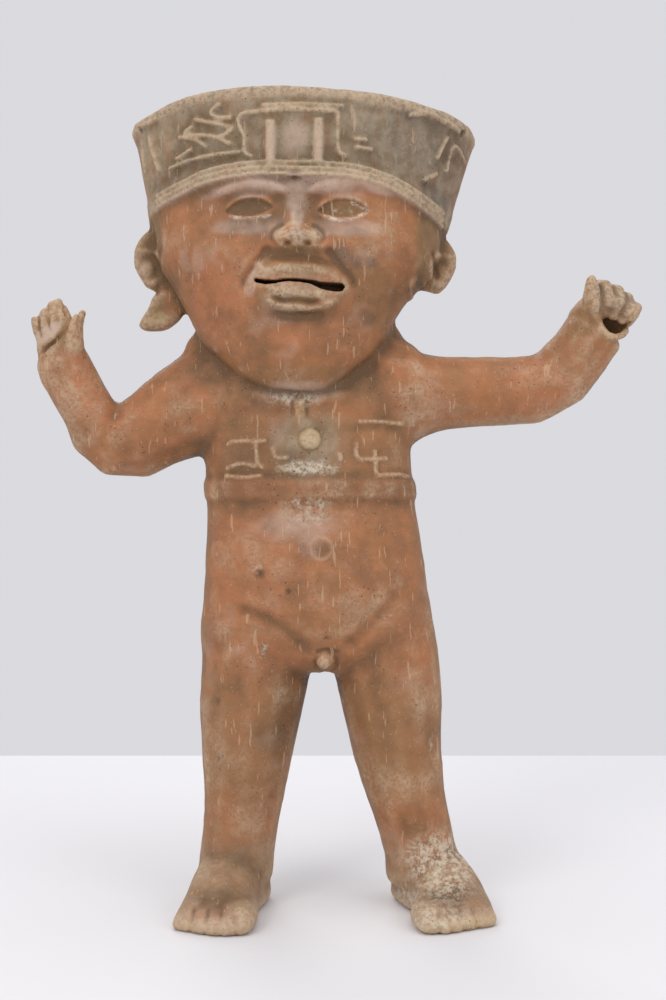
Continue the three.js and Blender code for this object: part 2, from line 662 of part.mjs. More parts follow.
// The closed hand: a hollow grip under four curled fingers, with the thumb standing beside it.
function closedHand() {
  const knuckles = limb([
    { x: 152, y: -8, z: 338, across: 18.2, deep: 17.5 },
    { x: 160.5, y: -6, z: 349, across: 16.5, deep: 13 },
    { x: 167, y: -2, z: 358, across: 12.5, deep: 8.5 },
  ], { rings: 4, sides: 12, dome: 0.3 });
  const grip = limb([
    { x: 165, y: -40, z: 343.5, across: 5.4, deep: 9.6 },
    { x: 161.5, y: -14, z: 339.5, across: 5.6, deep: 9.6 },
    { x: 158, y: -10 + gripDepth - 22, z: 333, across: 5, deep: 8 },
  ].map((row) => ({ ...row, across: row.deep, deep: row.across })), { rings: 4, sides: 12, dome: 0.4 });
  const fingers = [
    { top: [158.6, 366.4], tip: [158.8, 346.8], radius: 4.8 },
    { top: [165.6, 362.6], tip: [163, 346.4], radius: 4.4 },
    { top: [171.8, 358.4], tip: [168, 344], radius: 4.2 },
    { top: [178, 354.6], tip: [172, 344], radius: 4.2 },
  ].map(({ top, tip, radius }) => limb([
    { x: top[0] - 3, y: 3, z: top[1] - 11, across: radius, deep: radius },
    { x: top[0], y: -9, z: top[1] - radius, across: radius, deep: radius },
    { x: (top[0] + tip[0]) / 2, y: -20, z: (top[1] + tip[1]) / 2, across: radius, deep: radius },
    { x: tip[0], y: -22, z: tip[1], across: radius, deep: radius },
  ], { rings: 4, sides: 6 }));
  const thumb = limb([
    { x: 148, y: -15, z: 340, across: 7, deep: 8 },
    { x: 148.8, y: -20, z: 355, across: 5.4, deep: 6 },
    { x: 148.4, y: -22, z: 366, across: 3, deep: 3.4 },
  ], { rings: 4, sides: 8, dome: 1 });
  return { added: [knuckles, ...fingers, thumb], grip };
}

// The whole figure

function figure() {
  const hand = closedHand();
  const added = [
    head(), ...lidsAndLips(), ...headdressFret(), ...ears(),
    trunk(), ...breastBand(),
    limb(leftLeg, { rings: 7, sides: 12, dome: 0.3 }),
    limb(rightLeg, { rings: 7, sides: 12, dome: 0.3 }),
    ...feet(),
    limb(openArm, { rings: 10, sides: 12, dome: 0.2 }), ...openHand(),
    limb(closedArm, { rings: 10, sides: 12, dome: 0.2 }), ...hand.added,
    limb([
      { x: -5.1, y: -33, z: 153, across: 4.6, deep: 6 },
      { x: -5.1, y: -35, z: 146, across: 5.4, deep: 7 },
    ], { rings: 1, sides: 8 }),
  ];
  let whole = added[0];
  for (const piece of added.slice(1)) whole = whole.add(piece);
  return whole.subtract(mouthSlit()).subtract(hand.grip);
}

// The solid as a geometry, its origin on the ground under the middle of its box.
function centred(shape) {
  const mesh = shape.getMesh();
  const geometry = new THREE.BufferGeometry();
  const values = new Float32Array(mesh.numVert * 3);
  for (let i = 0; i < mesh.numVert; i += 1) {
    values.set(mesh.vertProperties.subarray(i * mesh.numProp, i * mesh.numProp + 3), i * 3);
  }
  geometry.setAttribute('position', new THREE.BufferAttribute(values, 3));
  geometry.setIndex(new THREE.BufferAttribute(mesh.triVerts, 1));
  geometry.computeBoundingBox();
  const middle = geometry.boundingBox.getCenter(new THREE.Vector3());
  geometry.translate(-middle.x, -middle.y, -geometry.boundingBox.min.z);
  geometry.computeVertexNormals();
  return geometry;
}

const firedClay = new THREE.MeshStandardMaterial({ color: 0xb07350, roughness: 0.85, metalness: 0 });
const figureMesh = new THREE.Mesh(centred(figure()), firedClay);
figureMesh.name = 'sonriente_figure';

const group = new THREE.Group();
group.add(figureMesh);
export default group;
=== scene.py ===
"""A smiling figure of hollow fired clay, standing on its own feet, with a wide headdress and raised hands.

The figure is worked as a block of clay: its rough solid is softened, the face and the hands are
modelled on it, and rolled fillets of clay are laid on the headdress and the breast band.
Lengths are millimetres from the maker's own middle line until the finished skin is set in the frame.
"""
import math

import bpy
import numpy as np
import openvdb as vdb
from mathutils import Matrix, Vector


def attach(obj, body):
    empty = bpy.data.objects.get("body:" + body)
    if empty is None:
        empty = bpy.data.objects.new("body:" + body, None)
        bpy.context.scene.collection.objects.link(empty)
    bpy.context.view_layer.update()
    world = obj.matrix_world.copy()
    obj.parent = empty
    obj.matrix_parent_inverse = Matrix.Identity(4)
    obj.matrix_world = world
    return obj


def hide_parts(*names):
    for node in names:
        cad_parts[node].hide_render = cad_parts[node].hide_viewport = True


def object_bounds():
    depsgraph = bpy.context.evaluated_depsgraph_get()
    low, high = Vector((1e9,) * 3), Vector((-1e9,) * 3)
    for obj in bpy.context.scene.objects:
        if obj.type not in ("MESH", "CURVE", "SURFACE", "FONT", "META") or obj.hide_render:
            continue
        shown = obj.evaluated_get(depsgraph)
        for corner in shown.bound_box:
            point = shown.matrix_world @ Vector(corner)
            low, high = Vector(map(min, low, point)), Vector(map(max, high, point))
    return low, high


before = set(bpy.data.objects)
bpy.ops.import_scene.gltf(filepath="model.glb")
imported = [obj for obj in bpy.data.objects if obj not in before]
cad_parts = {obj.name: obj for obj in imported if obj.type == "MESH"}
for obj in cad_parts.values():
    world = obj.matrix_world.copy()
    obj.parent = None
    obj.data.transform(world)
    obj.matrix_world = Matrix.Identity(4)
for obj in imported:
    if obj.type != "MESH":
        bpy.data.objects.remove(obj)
cad_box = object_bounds()

MILLIMETRE = 0.001
STANDS_AT = np.array((-2.497, 3.188, 0.0))   # from the maker's middle line to the middle of the frame
GRAIN = 1.0           # one grain of the clay block
SKIN_GRAINS = 8                              # how many grains deep the block knows its skin
AIR_ROUND = 24                               # grains of empty air kept round the block
FINEST_TRIANGLES = 192000


# Working the clay block

class ClayBlock:
    """Clay as distances from its skin: below zero is clay, above zero is air."""

    def __init__(self, points, triangles):
        self.spacing = vdb.createLinearTransform(voxelSize=GRAIN)
        solid = self.cast(points, triangles)
        low, high = solid.evalActiveVoxelBoundingBox()
        self.first = tuple(int(v) - AIR_ROUND for v in low)
        size = tuple(int(b) - int(a) + 1 + 2 * AIR_ROUND for a, b in zip(low, high))
        self.skin = self.read(solid, size)
        self.x, self.y, self.z = (
            (np.arange(n, dtype=np.float32) + start) * GRAIN for n, start in zip(size, self.first)
        )

    def cast(self, points, triangles):
        return vdb.FloatGrid.createLevelSetFromPolygons(
            np.ascontiguousarray(points, np.float32),
            triangles=np.ascontiguousarray(triangles, np.uint32),
            transform=self.spacing, halfWidth=SKIN_GRAINS)

    def read(self, solid, size=None):
        field = np.empty(size or self.skin.shape, np.float32)
        solid.copyToArray(field, ijk=self.first)
        return field

    def surface(self):
        """The skin as points and four-cornered faces."""
        grid = vdb.FloatGrid(SKIN_GRAINS * GRAIN)
        grid.transform = self.spacing
        grid.copyFromArray(self.skin, ijk=self.first)
        points, _, quads = grid.convertToPolygons(isovalue=0.0, adaptivity=0.0)
        return np.array(points, np.float32), np.array(quads, np.int64)

    def at(self, field, points):
        """Reads a field between its grains at points."""
        place = points / GRAIN - np.array(self.first)
        place = np.clip(place, 0, np.array(field.shape) - 1.001)
        whole = place.astype(np.int64)
        part = place - whole
        found = np.zeros(len(points))
        for corner in np.ndindex(2, 2, 2):
            near = whole + np.array(corner)
            weight = np.prod(np.where(np.array(corner), part, 1 - part), axis=1)
            found += weight * field[near[:, 0], near[:, 1], near[:, 2]]
        return found


def rub(field, reach, passes=3):
    """Rubs the clay smooth: each pass is a mean over reach millimetres either way."""
    grains = max(1, int(round(reach / GRAIN)))
    for _ in range(passes):
        for axis in range(3):
            count = field.shape[axis]
            total = np.cumsum(field, axis=axis, dtype=np.float32)
            after = np.minimum(np.arange(count) + grains, count - 1)
            before = np.maximum(np.arange(count) - grains - 1, 0)
            field = (np.take(total, after, axis) - np.take(total, before, axis)) / (2 * grains + 1)
    return field


def step(start, end, value):
    """Goes smoothly from 0 at start to 1 at end."""
    t = np.clip((value - start) / (end - start), 0, 1)
    return t * t * (3 - 2 * t)


def within(block, across, deep, up, edge=6.0):
    """How far each grain is inside a box of the block, from 0 to 1 over a soft edge."""
    share = 1.0
    for line, (low, high), shape in (
        (block.x, across, (-1, 1, 1)), (block.y, deep, (1, -1, 1)), (block.z, up, (1, 1, -1)),
    ):
        inside = step(low - edge, low, line) * (1 - step(high, high + edge, line))
        share = share * inside.reshape(shape).astype(np.float32)
    return share


def round_line(places, spacing=1.0):
    """A smooth line through places, as many points close together."""
    places = np.array(places, float)
    before = np.vstack((2 * places[:1] - places[1:2], places, 2 * places[-1:] - places[-2:-1]))
    made = []
    for i in range(len(places) - 1):
        a, b, c, d = before[i:i + 4]
        count = max(2, int(np.linalg.norm(c - b) / spacing))
        for t in np.arange(count) / count:
            made.append(0.5 * (2 * b + (c - a) * t + (2 * a - 5 * b + 4 * c - d) * t * t
                               + (3 * b - a - 3 * c + d) * t ** 3))
    made.append(places[-1])
    return np.array(made)


def far_from(line, x, z, limit=30.0):
    """Distance of each place of a front view from a line, and how far along it the nearest point is."""
    line = np.asarray(line, float)
    best = np.full(np.broadcast(x, z).shape, limit ** 2, np.float32)
    along = np.zeros_like(best)
    lengths = np.concatenate(([0], np.cumsum(np.linalg.norm(np.diff(line, axis=0), axis=1))))
    for i in range(len(line) - 1):
        (ax, az), (bx, bz) = line[i], line[i + 1]
        run = max((bx - ax) ** 2 + (bz - az) ** 2, 1e-9)
        t = np.clip(((x - ax) * (bx - ax) + (z - az) * (bz - az)) / run, 0, 1)
        away = (x - ax - t * (bx - ax)) ** 2 + (z - az - t * (bz - az)) ** 2
        nearer = away < best
        best = np.where(nearer, away, best)
        along = np.where(nearer, lengths[i] + t * (lengths[i + 1] - lengths[i]), along)
    return np.sqrt(best), along / max(lengths[-1], 1e-9)


class FrontRelief:
    """Low relief seen from the front: how far the clay is raised or pressed at each place."""

    def __init__(self, x, z):
        self.x, self.z = x, z
        self.height = np.zeros(np.broadcast(x, z).shape, np.float32)

    def ridge(self, places, width, height, taper=0.25):
        away, along = far_from(round_line(places), self.x, self.z)
        ends = 1 if not taper else step(0, taper, along + 0.02) * step(0, taper, 1.02 - along)
        self.height += height * np.exp(-(away / width) ** 2) * ends

    def mound(self, centre, radii, height, turn=0.0):
        turn = math.radians(turn)
        dx, dz = self.x - centre[0], self.z - centre[1]
        u = (dx * math.cos(turn) + dz * math.sin(turn)) / radii[0]
        v = (dz * math.cos(turn) - dx * math.sin(turn)) / radii[1]
        self.height += height * np.exp(-(u * u + v * v))

    def ring(self, centre, radius, width, height):
        away = np.hypot(self.x - centre[0], self.z - centre[1]) - radius
        self.height += height * np.exp(-(away / width) ** 2)


# The face and the other modelled places, all in the front view

MOUTH_LINE = ((-43.7, 360.4), (-37.7, 359.0), (-31.3, 358.8), (-25.7, 359.7), (-18.6, 359.4),
              (-12.2, 358.8), (-6.5, 356.9), (0.5, 356.4), (6.2, 356.9))
MOUTH_OPENS = (0.9, 1.3, 0.95, 0.9, 0.78, 0.95, 1.7, 2.1, 1.8)   # half the slit's height along that line
MOUTH_DEPTH = 16.0
LEFT_EYE = {"corners": ((-59.9, 399.4), (-33.6, 400.8)), "top": 6.3, "bottom": 3.6}
RIGHT_EYE = {"corners": ((-8.2, 398.8), (19.2, 400.2)), "top": 6.6, "bottom": 4.4}
LEFT_BROW = ((-69.6, 409.5), (-56, 413.0), (-43, 414.2), (-31, 412.2), (-23.5, 407.5))
RIGHT_BROW = ((-15.5, 408.0), (-6.5, 412.6), (4, 414.6), (14.7, 415.6), (25.3, 413.2), (32.4, 408.2))


def model_eye(relief, eye):
    """A bulging eyeball between two thin lids."""
    (ax, az), (bx, bz) = eye["corners"]
    share = (relief.x - ax) / (bx - ax)
    bow = np.clip(4 * share * (1 - share), 0, 1)
    level = az + (bz - az) * np.clip(share, 0, 1)
    upper = level + eye["top"] * np.sqrt(bow)
    lower = level - eye["bottom"] * bow ** 0.8
    inside = step(-0.2, 1.4, upper - relief.z) * step(-0.2, 1.2, relief.z - lower) * (bow > 0)
    middle = ((ax + bx) / 2, (az + bz) / 2 + 1.0)
    ball = np.clip(1 - ((relief.x - middle[0]) / 13.5) ** 2 - ((relief.z - middle[1]) / 8.0) ** 2, 0, 1)
    relief.height += inside * (1.8 * np.sqrt(ball) - 1.5)
    shares = np.linspace(0.0, 1.0, 15)
    lid = [(ax + (bx - ax) * s, az + (bz - az) * s + eye["top"] * math.sqrt(4 * s * (1 - s)) + 0.7)
           for s in shares]
    rim = [(ax + (bx - ax) * s, az + (bz - az) * s - eye["bottom"] * (4 * s * (1 - s)) ** 0.8 - 0.6)
           for s in shares]
    relief.ridge(lid, 1.2, 0.9, taper=0.12)
    relief.ridge(rim, 1.1, 0.8, taper=0.2)


def model_face(x, z):
    relief = FrontRelief(x, z)
    for brow in (LEFT_BROW, RIGHT_BROW):
        relief.ridge(brow, 2.4, 1.0, taper=0.2)
    relief.mound((-46.5, 403.5), (17, 8.5), -1.2)
    relief.mound((6.0, 403.5), (17, 8.5), -1.2)
    relief.mound((-29.5, 406.5), (5.5, 5), -1.0)
    relief.mound((-11.0, 406.5), (5.5, 5), -1.0)
    model_eye(relief, LEFT_EYE)
    model_eye(relief, RIGHT_EYE)
    # hairline edge above the forehead, with its small notch
    relief.mound((-21.3, 418.0), (4.0, 2.2), -1.8)
    # nose
    relief.mound((-28.6, 383.0), (3.2, 3.4), 1.1)
    relief.mound((-10.4, 383.0), (3.2, 3.4), 1.1)
    relief.ridge(((-26.5, 391), (-31.8, 388.5), (-34.2, 384.5), (-32.5, 380.2), (-28, 378.8)), 1.3, -1.0, 0.2)
    relief.ridge(((-12.5, 391), (-7.2, 388.5), (-4.8, 384.5), (-6.5, 380.2), (-11, 378.8)), 1.3, -1.0, 0.2)
    relief.mound((-24.8, 379.6), (2.6, 1.5), -2.6)
    relief.mound((-13.8, 379.6), (2.6, 1.5), -2.6)
    relief.mound((-19.4, 376.0), (11, 3.2), -1.4)
    # cheeks and the folds of the smile
    relief.mound((-50, 377), (12, 10), 1.3)
    relief.mound((13, 377), (12, 10), 1.3)
    relief.ridge(((-34.5, 380), (-38.5, 374.5), (-44, 368), (-49, 361), (-50.5, 354)), 2.3, -1.4, 0.2)
    relief.ridge(((-4.5, 380), (-0.5, 374), (5, 367.5), (10.5, 361.5), (12.5, 354)), 2.3, -1.4, 0.2)
    # upper lip, with the small curl at its left corner
    relief.ridge(((-45, 360.5), (-38, 364.0), (-29, 366.3), (-19.5, 366.6), (-9, 365.8), (0, 363.0),
                  (7.5, 358.6)), 3.4, 1.1, 0.15)
    relief.ridge(((-36.5, 362.5), (-39.5, 366.5), (-42.2, 369.3), (-44.2, 366.8)), 1.0, 0.9, 0.3)
    relief.ridge(((-38, 372.6), (-28, 371.4), (-19, 371.6), (-8, 370.6), (3, 368)), 1.7, -0.8, 0.2)
    # lower lip: a full inner lip, a groove below it and a thin outer edge
    relief.ridge(((-38, 355.0), (-29, 353.0), (-19.5, 352.4), (-9, 351.2), (1, 352.0)), 4.0, 1.6, 0.25)
    relief.ridge(((-35, 351.0), (-28, 348.3), (-20, 348.6), (-12, 347.6), (-5, 348.8)), 1.7, -1.5, 0.2)
    relief.ridge(((-39.5, 352.5), (-33, 346.4), (-21, 343.9), (-9, 344.0), (0.5, 348.2), (4.5, 352.5)),
                 1.8, 1.2, 0.2)
    relief.ridge(((-36, 342.5), (-20, 340.0), (-4, 342.5)), 2.6, -1.1, 0.3)
    relief.mound((-20.5, 327), (15, 9), 1.6)
    return relief.height


def model_trunk(x, z):
    relief = FrontRelief(x, z)
    relief.ridge(((-52, 303), (-38, 297.5), (-20, 294.5), (-2, 297), (14, 303)), 3.0, 1.0, 0.2)
    relief.ridge(((-14.6, 297), (-14.9, 291), (-14.4, 284.5)), 1.1, -1.0, 0.3)
    relief.ridge(((-22.6, 297), (-22.9, 291), (-22.4, 284.5)), 1.1, -1.0, 0.3)
    relief.ring((-13.0, 273.1), 6.6, 0.9, -0.9)
    relief.mound((-13.0, 273.1), (5.5, 5.5), 0.7)
    relief.ring((-6.7, 211.7), 6.3, 1.1, 0.45)
    relief.mound((-6.7, 211.7), (4.0, 4.0), -0.5)
    relief.mound((-41.1, 197.6), (2.6, 2.6), -1.0)
    relief.mound((-24.9, 187.4), (1.2, 1.2), -0.7)
    relief.mound((-3.9, 160.9), (1.3, 1.3), -0.7)
    relief.ridge(((-37.9, 158.8), (-39.6, 152), (-40.4, 146.6)), 0.8, -0.6, 0.3)
    relief.ridge(((24.1, 172.6), (28, 172.2), (31.7, 172.4)), 0.8, -0.6, 0.3)
    relief.ridge(((-57, 180), (-42, 174), (-28, 167), (-12, 153)), 4.0, -1.3, 0.2)
    relief.ridge(((40, 190), (31, 180), (22, 170), (4, 154)), 4.0, -1.3, 0.2)
    relief.ring((-3.9, 145.9), 6.4, 1.1, -0.9)
    relief.ridge(((-10.5, 152.5), (-4, 154.3), (3, 152.5)), 1.1, -1.2, 0.25)
    return relief.height


# Hands and toes

OPEN_HAND = (
    ((-163.0, -13, 322.0, 6.0), (-165.0, -14, 331.0, 5.5)),
    ((-166.8, -14.0, 327.0, 3.0), (-169.8, -15.0, 336.0, 2.6), (-172.0, -14.0, 342.2, 2.1)),
    ((-164.5, -15.0, 330.0, 2.9), (-166.6, -16.0, 340.0, 2.7), (-167.6, -14.5, 348.4, 2.1)),
    ((-160.5, -15.5, 332.0, 3.0), (-162.2, -16.5, 343.0, 2.8), (-163.2, -15.0, 352.2, 2.1)),
    ((-156.0, -15.5, 333.0, 3.2), (-157.6, -16.5, 344.0, 3.0), (-158.9, -15.0, 353.8, 2.1)),
    ((-151.6, -11.5, 331.0, 3.4), (-153.2, -12.5, 341.0, 2.8), (-156.4, -12.5, 350.5, 1.8)),
    ((-152.0, -14, 318.0, 7.0), (-149.8, -17, 330.0, 5.6), (-148.4, -18, 339.0, 3.9),
     (-145.0, -18, 346.8, 2.0)),
)
OPEN_HAND_LINES = (
    ((-168.7, -18.6, 333.0, 0.7), (-170.4, -17.6, 343.5, 0.9)),
    ((-163.6, -19.9, 337.0, 0.7), (-165.5, -18.4, 350.0, 0.9)),
    ((-159.0, -20.3, 339.0, 0.7), (-161.0, -18.8, 353.5, 0.9)),
    ((-154.2, -17.5, 336.0, 0.9), (-155.8, -16.5, 350.0, 1.0)),
    ((-168.0, -19.5, 324.5, 1.2), (-160.0, -20.8, 330.5, 1.2), (-153.5, -21.5, 338.0, 1.2)),
)
CLOSED_HAND = (
    ((155.4, -9, 364.2, 3.6), (157.6, -18, 362.0, 4.2), (158.3, -21, 354.4, 4.3), (156.4, -20, 347.2, 3.7)),
    ((163.6, -8, 361.6, 3.6), (165.0, -17, 359.2, 4.1), (165.6, -20.5, 352.8, 4.2), (162.0, -20, 345.6, 3.6)),
    ((170.0, -7, 357.6, 3.4), (171.0, -15, 355.6, 3.9), (171.4, -18.5, 349.8, 4.0), (167.2, -19, 343.4, 3.5)),
    ((174.0, -5, 353.6, 3.0), (174.6, -12, 352.2, 3.3), (174.4, -15, 347.4, 3.4), (171.6, -15, 342.6, 3.0)),
    ((151.6, -19, 341.0, 4.4), (150.6, -23, 350.0, 4.3), (150.2, -23, 358.0, 3.8), (149.6, -21, 366.2, 2.2)),
    ((152.6, -22, 341.4, 2.2), (154.0, -24, 336.6, 2.2), (157.9, -24, 333.2, 2.3), (162.5, -23, 332.2, 2.3),
     (167.2, -20, 333.8, 2.3), (170.2, -15, 336.8, 2.2), (171.0, -10, 339.0, 2.2)),
)
CLOSED_HAND_LINES = (
    ((162.2, -24.4, 362.0, 0.6), (162.0, -26.0, 354.0, 0.8), (159.6, -25.0, 346.0, 0.8)),
    ((168.9, -22.0, 358.6, 0.6), (168.8, -24.0, 351.6, 0.8), (164.8, -24.5, 344.0, 0.8)),
    ((153.9, -25.0, 361.0, 0.8), (154.2, -26.5, 353.0, 1.0), (153.4, -25.5, 345.0, 1.2)),
)
TOES_BEHIND = -24.0      # the rough toes are in front of this
TOES_BELOW = 19.0
BETWEEN_FEET = -6.0
TOE_LINES = ((-79.5, -77), (-70.5, -69), (-61.5, -61.5), (-52.5, -54),
             (58.5, 58), (65.5, 64), (73, 70.5), (81, 77.5))


def model_feet(x, z):
    relief = FrontRelief(x, z)
    for low, high in TOE_LINES:
        relief.ridge(((low, -1), ((low + high) / 2, 5), (high, 11)), 1.2, -0.9, taper=0)
    return relief.height


def model_ears(x, z):
    """Round ear ornaments: a raised edge, a sunken ring and a low boss, and the pendant lobe's own edge."""
    relief = FrontRelief(x, z)
    relief.ring((-112, 376), 10.5, 1.8, 1.0)
    relief.ring((-110, 376), 6.0, 1.8, -1.0)
    relief.mound((-109, 376), (3.5, 5), 0.8)
    relief.ridge(((-100, 388), (-102, 376), (-104, 364), (-102, 356)), 1.4, -0.9, 0.2)
    relief.ridge(((-105, 354), (-113, 346), (-117, 338)), 1.6, 0.8, 0.2)
    relief.mound((-103, 344), (7, 4), 0.9)
    relief.ring((67, 374), 9.5, 1.7, 0.9)
    relief.ring((65, 374), 5.0, 1.7, -0.9)
    relief.ridge(((57.5, 384), (60, 376), (63, 369.5)), 1.2, -1.3, 0.2)
    relief.mound((50.5, 366), (3.4, 3.4), -1.4)
    relief.ring((50.5, 361), 5.5, 1.5, 0.9)
    relief.mound((71.5, 384), (1.0, 2.4), -1.4)
    return relief.height


# Rolled fillets of clay, as lines in the front view

HAIRLINE = ((-102.2, 407.4), (-87, 411.4), (-70.8, 416.3), (-46.3, 418.8), (-22.3, 418.6), (3.7, 418),
            (23.4, 415.3), (39.1, 410.4), (55.4, 402.9), (64.1, 398.2))
HAIRLINE_RISES = (0.6, 3.8, 7.2)

HEADDRESS_FILLETS = (
    ((-44.5, 429.4), (-49.1, 432.2), (-49.2, 441.3), (-51.6, 445.4), (-51.6, 452.5), (-39.4, 454.4)),
    ((-39.4, 454.4), (-18.2, 454.4), (2.8, 453.9)),
    ((2.8, 453.9), (2.8, 433.6), (7.2, 429.5)),
    ((-39.3, 457.5), (-18.2, 457.5), (6.1, 457.2)),
    ((-78.5, 453.6), (-59.7, 447.7), (-55.6, 446.2), (-62.2, 442.1), (-66.9, 441.6)),
    ((-78.6, 450.1), (-84, 446.5), (-67.5, 442.7), (-61.8, 440), (-56.6, 437.1)),
    ((-87.8, 445.2), (-78.6, 442.6), (-71, 437.8)),
    ((-89.5, 433.4), (-79.6, 437.3)),
    ((-94.1, 428.8), (-80.7, 431.4), (-64.9, 432.4), (-51.8, 432.6)),
    ((-62.7, 460.3), (-68.4, 456.4), (-64.8, 452.7), (-56.3, 452)),
    ((-106.3, 451), (-104.6, 442.1), (-100, 428.4)),
    ((-111.7, 445.1), (-109.2, 429.6)),
    ((-113.8, 456.8), (-100.3, 457.9)),
    ((66, 448.7), (59.3, 435)),
    ((65.1, 428.7), (69.9, 444.6), (78.2, 438.7)),
    ((11.4, 439.6), (19.4, 439.7)),
    ((11.9, 435.3), (22.1, 434.8)),
    ((51.3, 421.2), (59.9, 427.3)),
    ((42.3, 455.9), (53.6, 458.1), (63.2, 456), (74.9, 452.9)),
)
PANEL_BARS = (((-34.6, 449), (-34.6, 423)), ((-8.1, 450), (-8.1, 425)))
BREAST_FILLETS = (
    ((-60, 269.8), (-57.5, 271.9), (-37.5, 272.4)),
    ((-43.6, 270.6), (-42.7, 260.2), (-39.3, 256.8)),
    ((-34.1, 268.9), (-32.3, 262.8), (-24.6, 262.8)),
    ((-60.9, 256.8), (-52.3, 259.4), (-43.6, 257.6)),
    ((-61.8, 252.4), (-49.7, 251.6), (-40.1, 252.4)),
    ((13.5, 271.5), (14.4, 262.4), (30.8, 262.4)),
    ((4, 265.4), (4.4, 260.2)),
    ((23.9, 267.2), (24.3, 252.4)),
    ((24.3, 252.4), (36, 253.3), (43.8, 252.4)),
    ((14.4, 283.2), (27, 283.4), (40.4, 282.3)),
)


def plain_mesh(name, points, edges=(), faces=()):
    made = bpy.data.meshes.new(name)
    made.from_pydata([tuple(p) for p in points], list(edges), list(faces))
    piece = bpy.data.objects.new(name, made)
    bpy.context.scene.collection.objects.link(piece)
    return piece


def face_mesh(name, points, faces):
    """A mesh from arrays of points and of faces that all have as many corners."""
    made = bpy.data.meshes.new(name)
    corners = faces.shape[1]
    made.vertices.add(len(points))
    made.loops.add(faces.size)
    made.polygons.add(len(faces))
    made.vertices.foreach_set("co", np.ascontiguousarray(points, np.float32).ravel())
    made.loops.foreach_set("vertex_index", np.ascontiguousarray(faces, np.int32).ravel())
    made.polygons.foreach_set("loop_start", np.arange(0, faces.size, corners, dtype=np.int32))
    made.update(calc_edges=True)
    made.validate()
    piece = bpy.data.objects.new(name, made)
    bpy.context.scene.collection.objects.link(piece)
    return piece


def mesh_arrays(piece):
    """Points and triangles of a mesh object."""
    made = piece.data
    made.calc_loop_triangles()
    points = np.empty(len(made.vertices) * 3, np.float32)
    made.vertices.foreach_get("co", points)
    triangles = np.empty(len(made.loop_triangles) * 3, np.int32)
    made.loop_triangles.foreach_get("vertices", triangles)
    return points.reshape(-1, 3), triangles.reshape(-1, 3)


def put_away(piece):
    made = piece.data
    bpy.data.objects.remove(piece)
    bpy.data.meshes.remove(made)


def link(tree, start, end):
    tree.links.new(start, end)


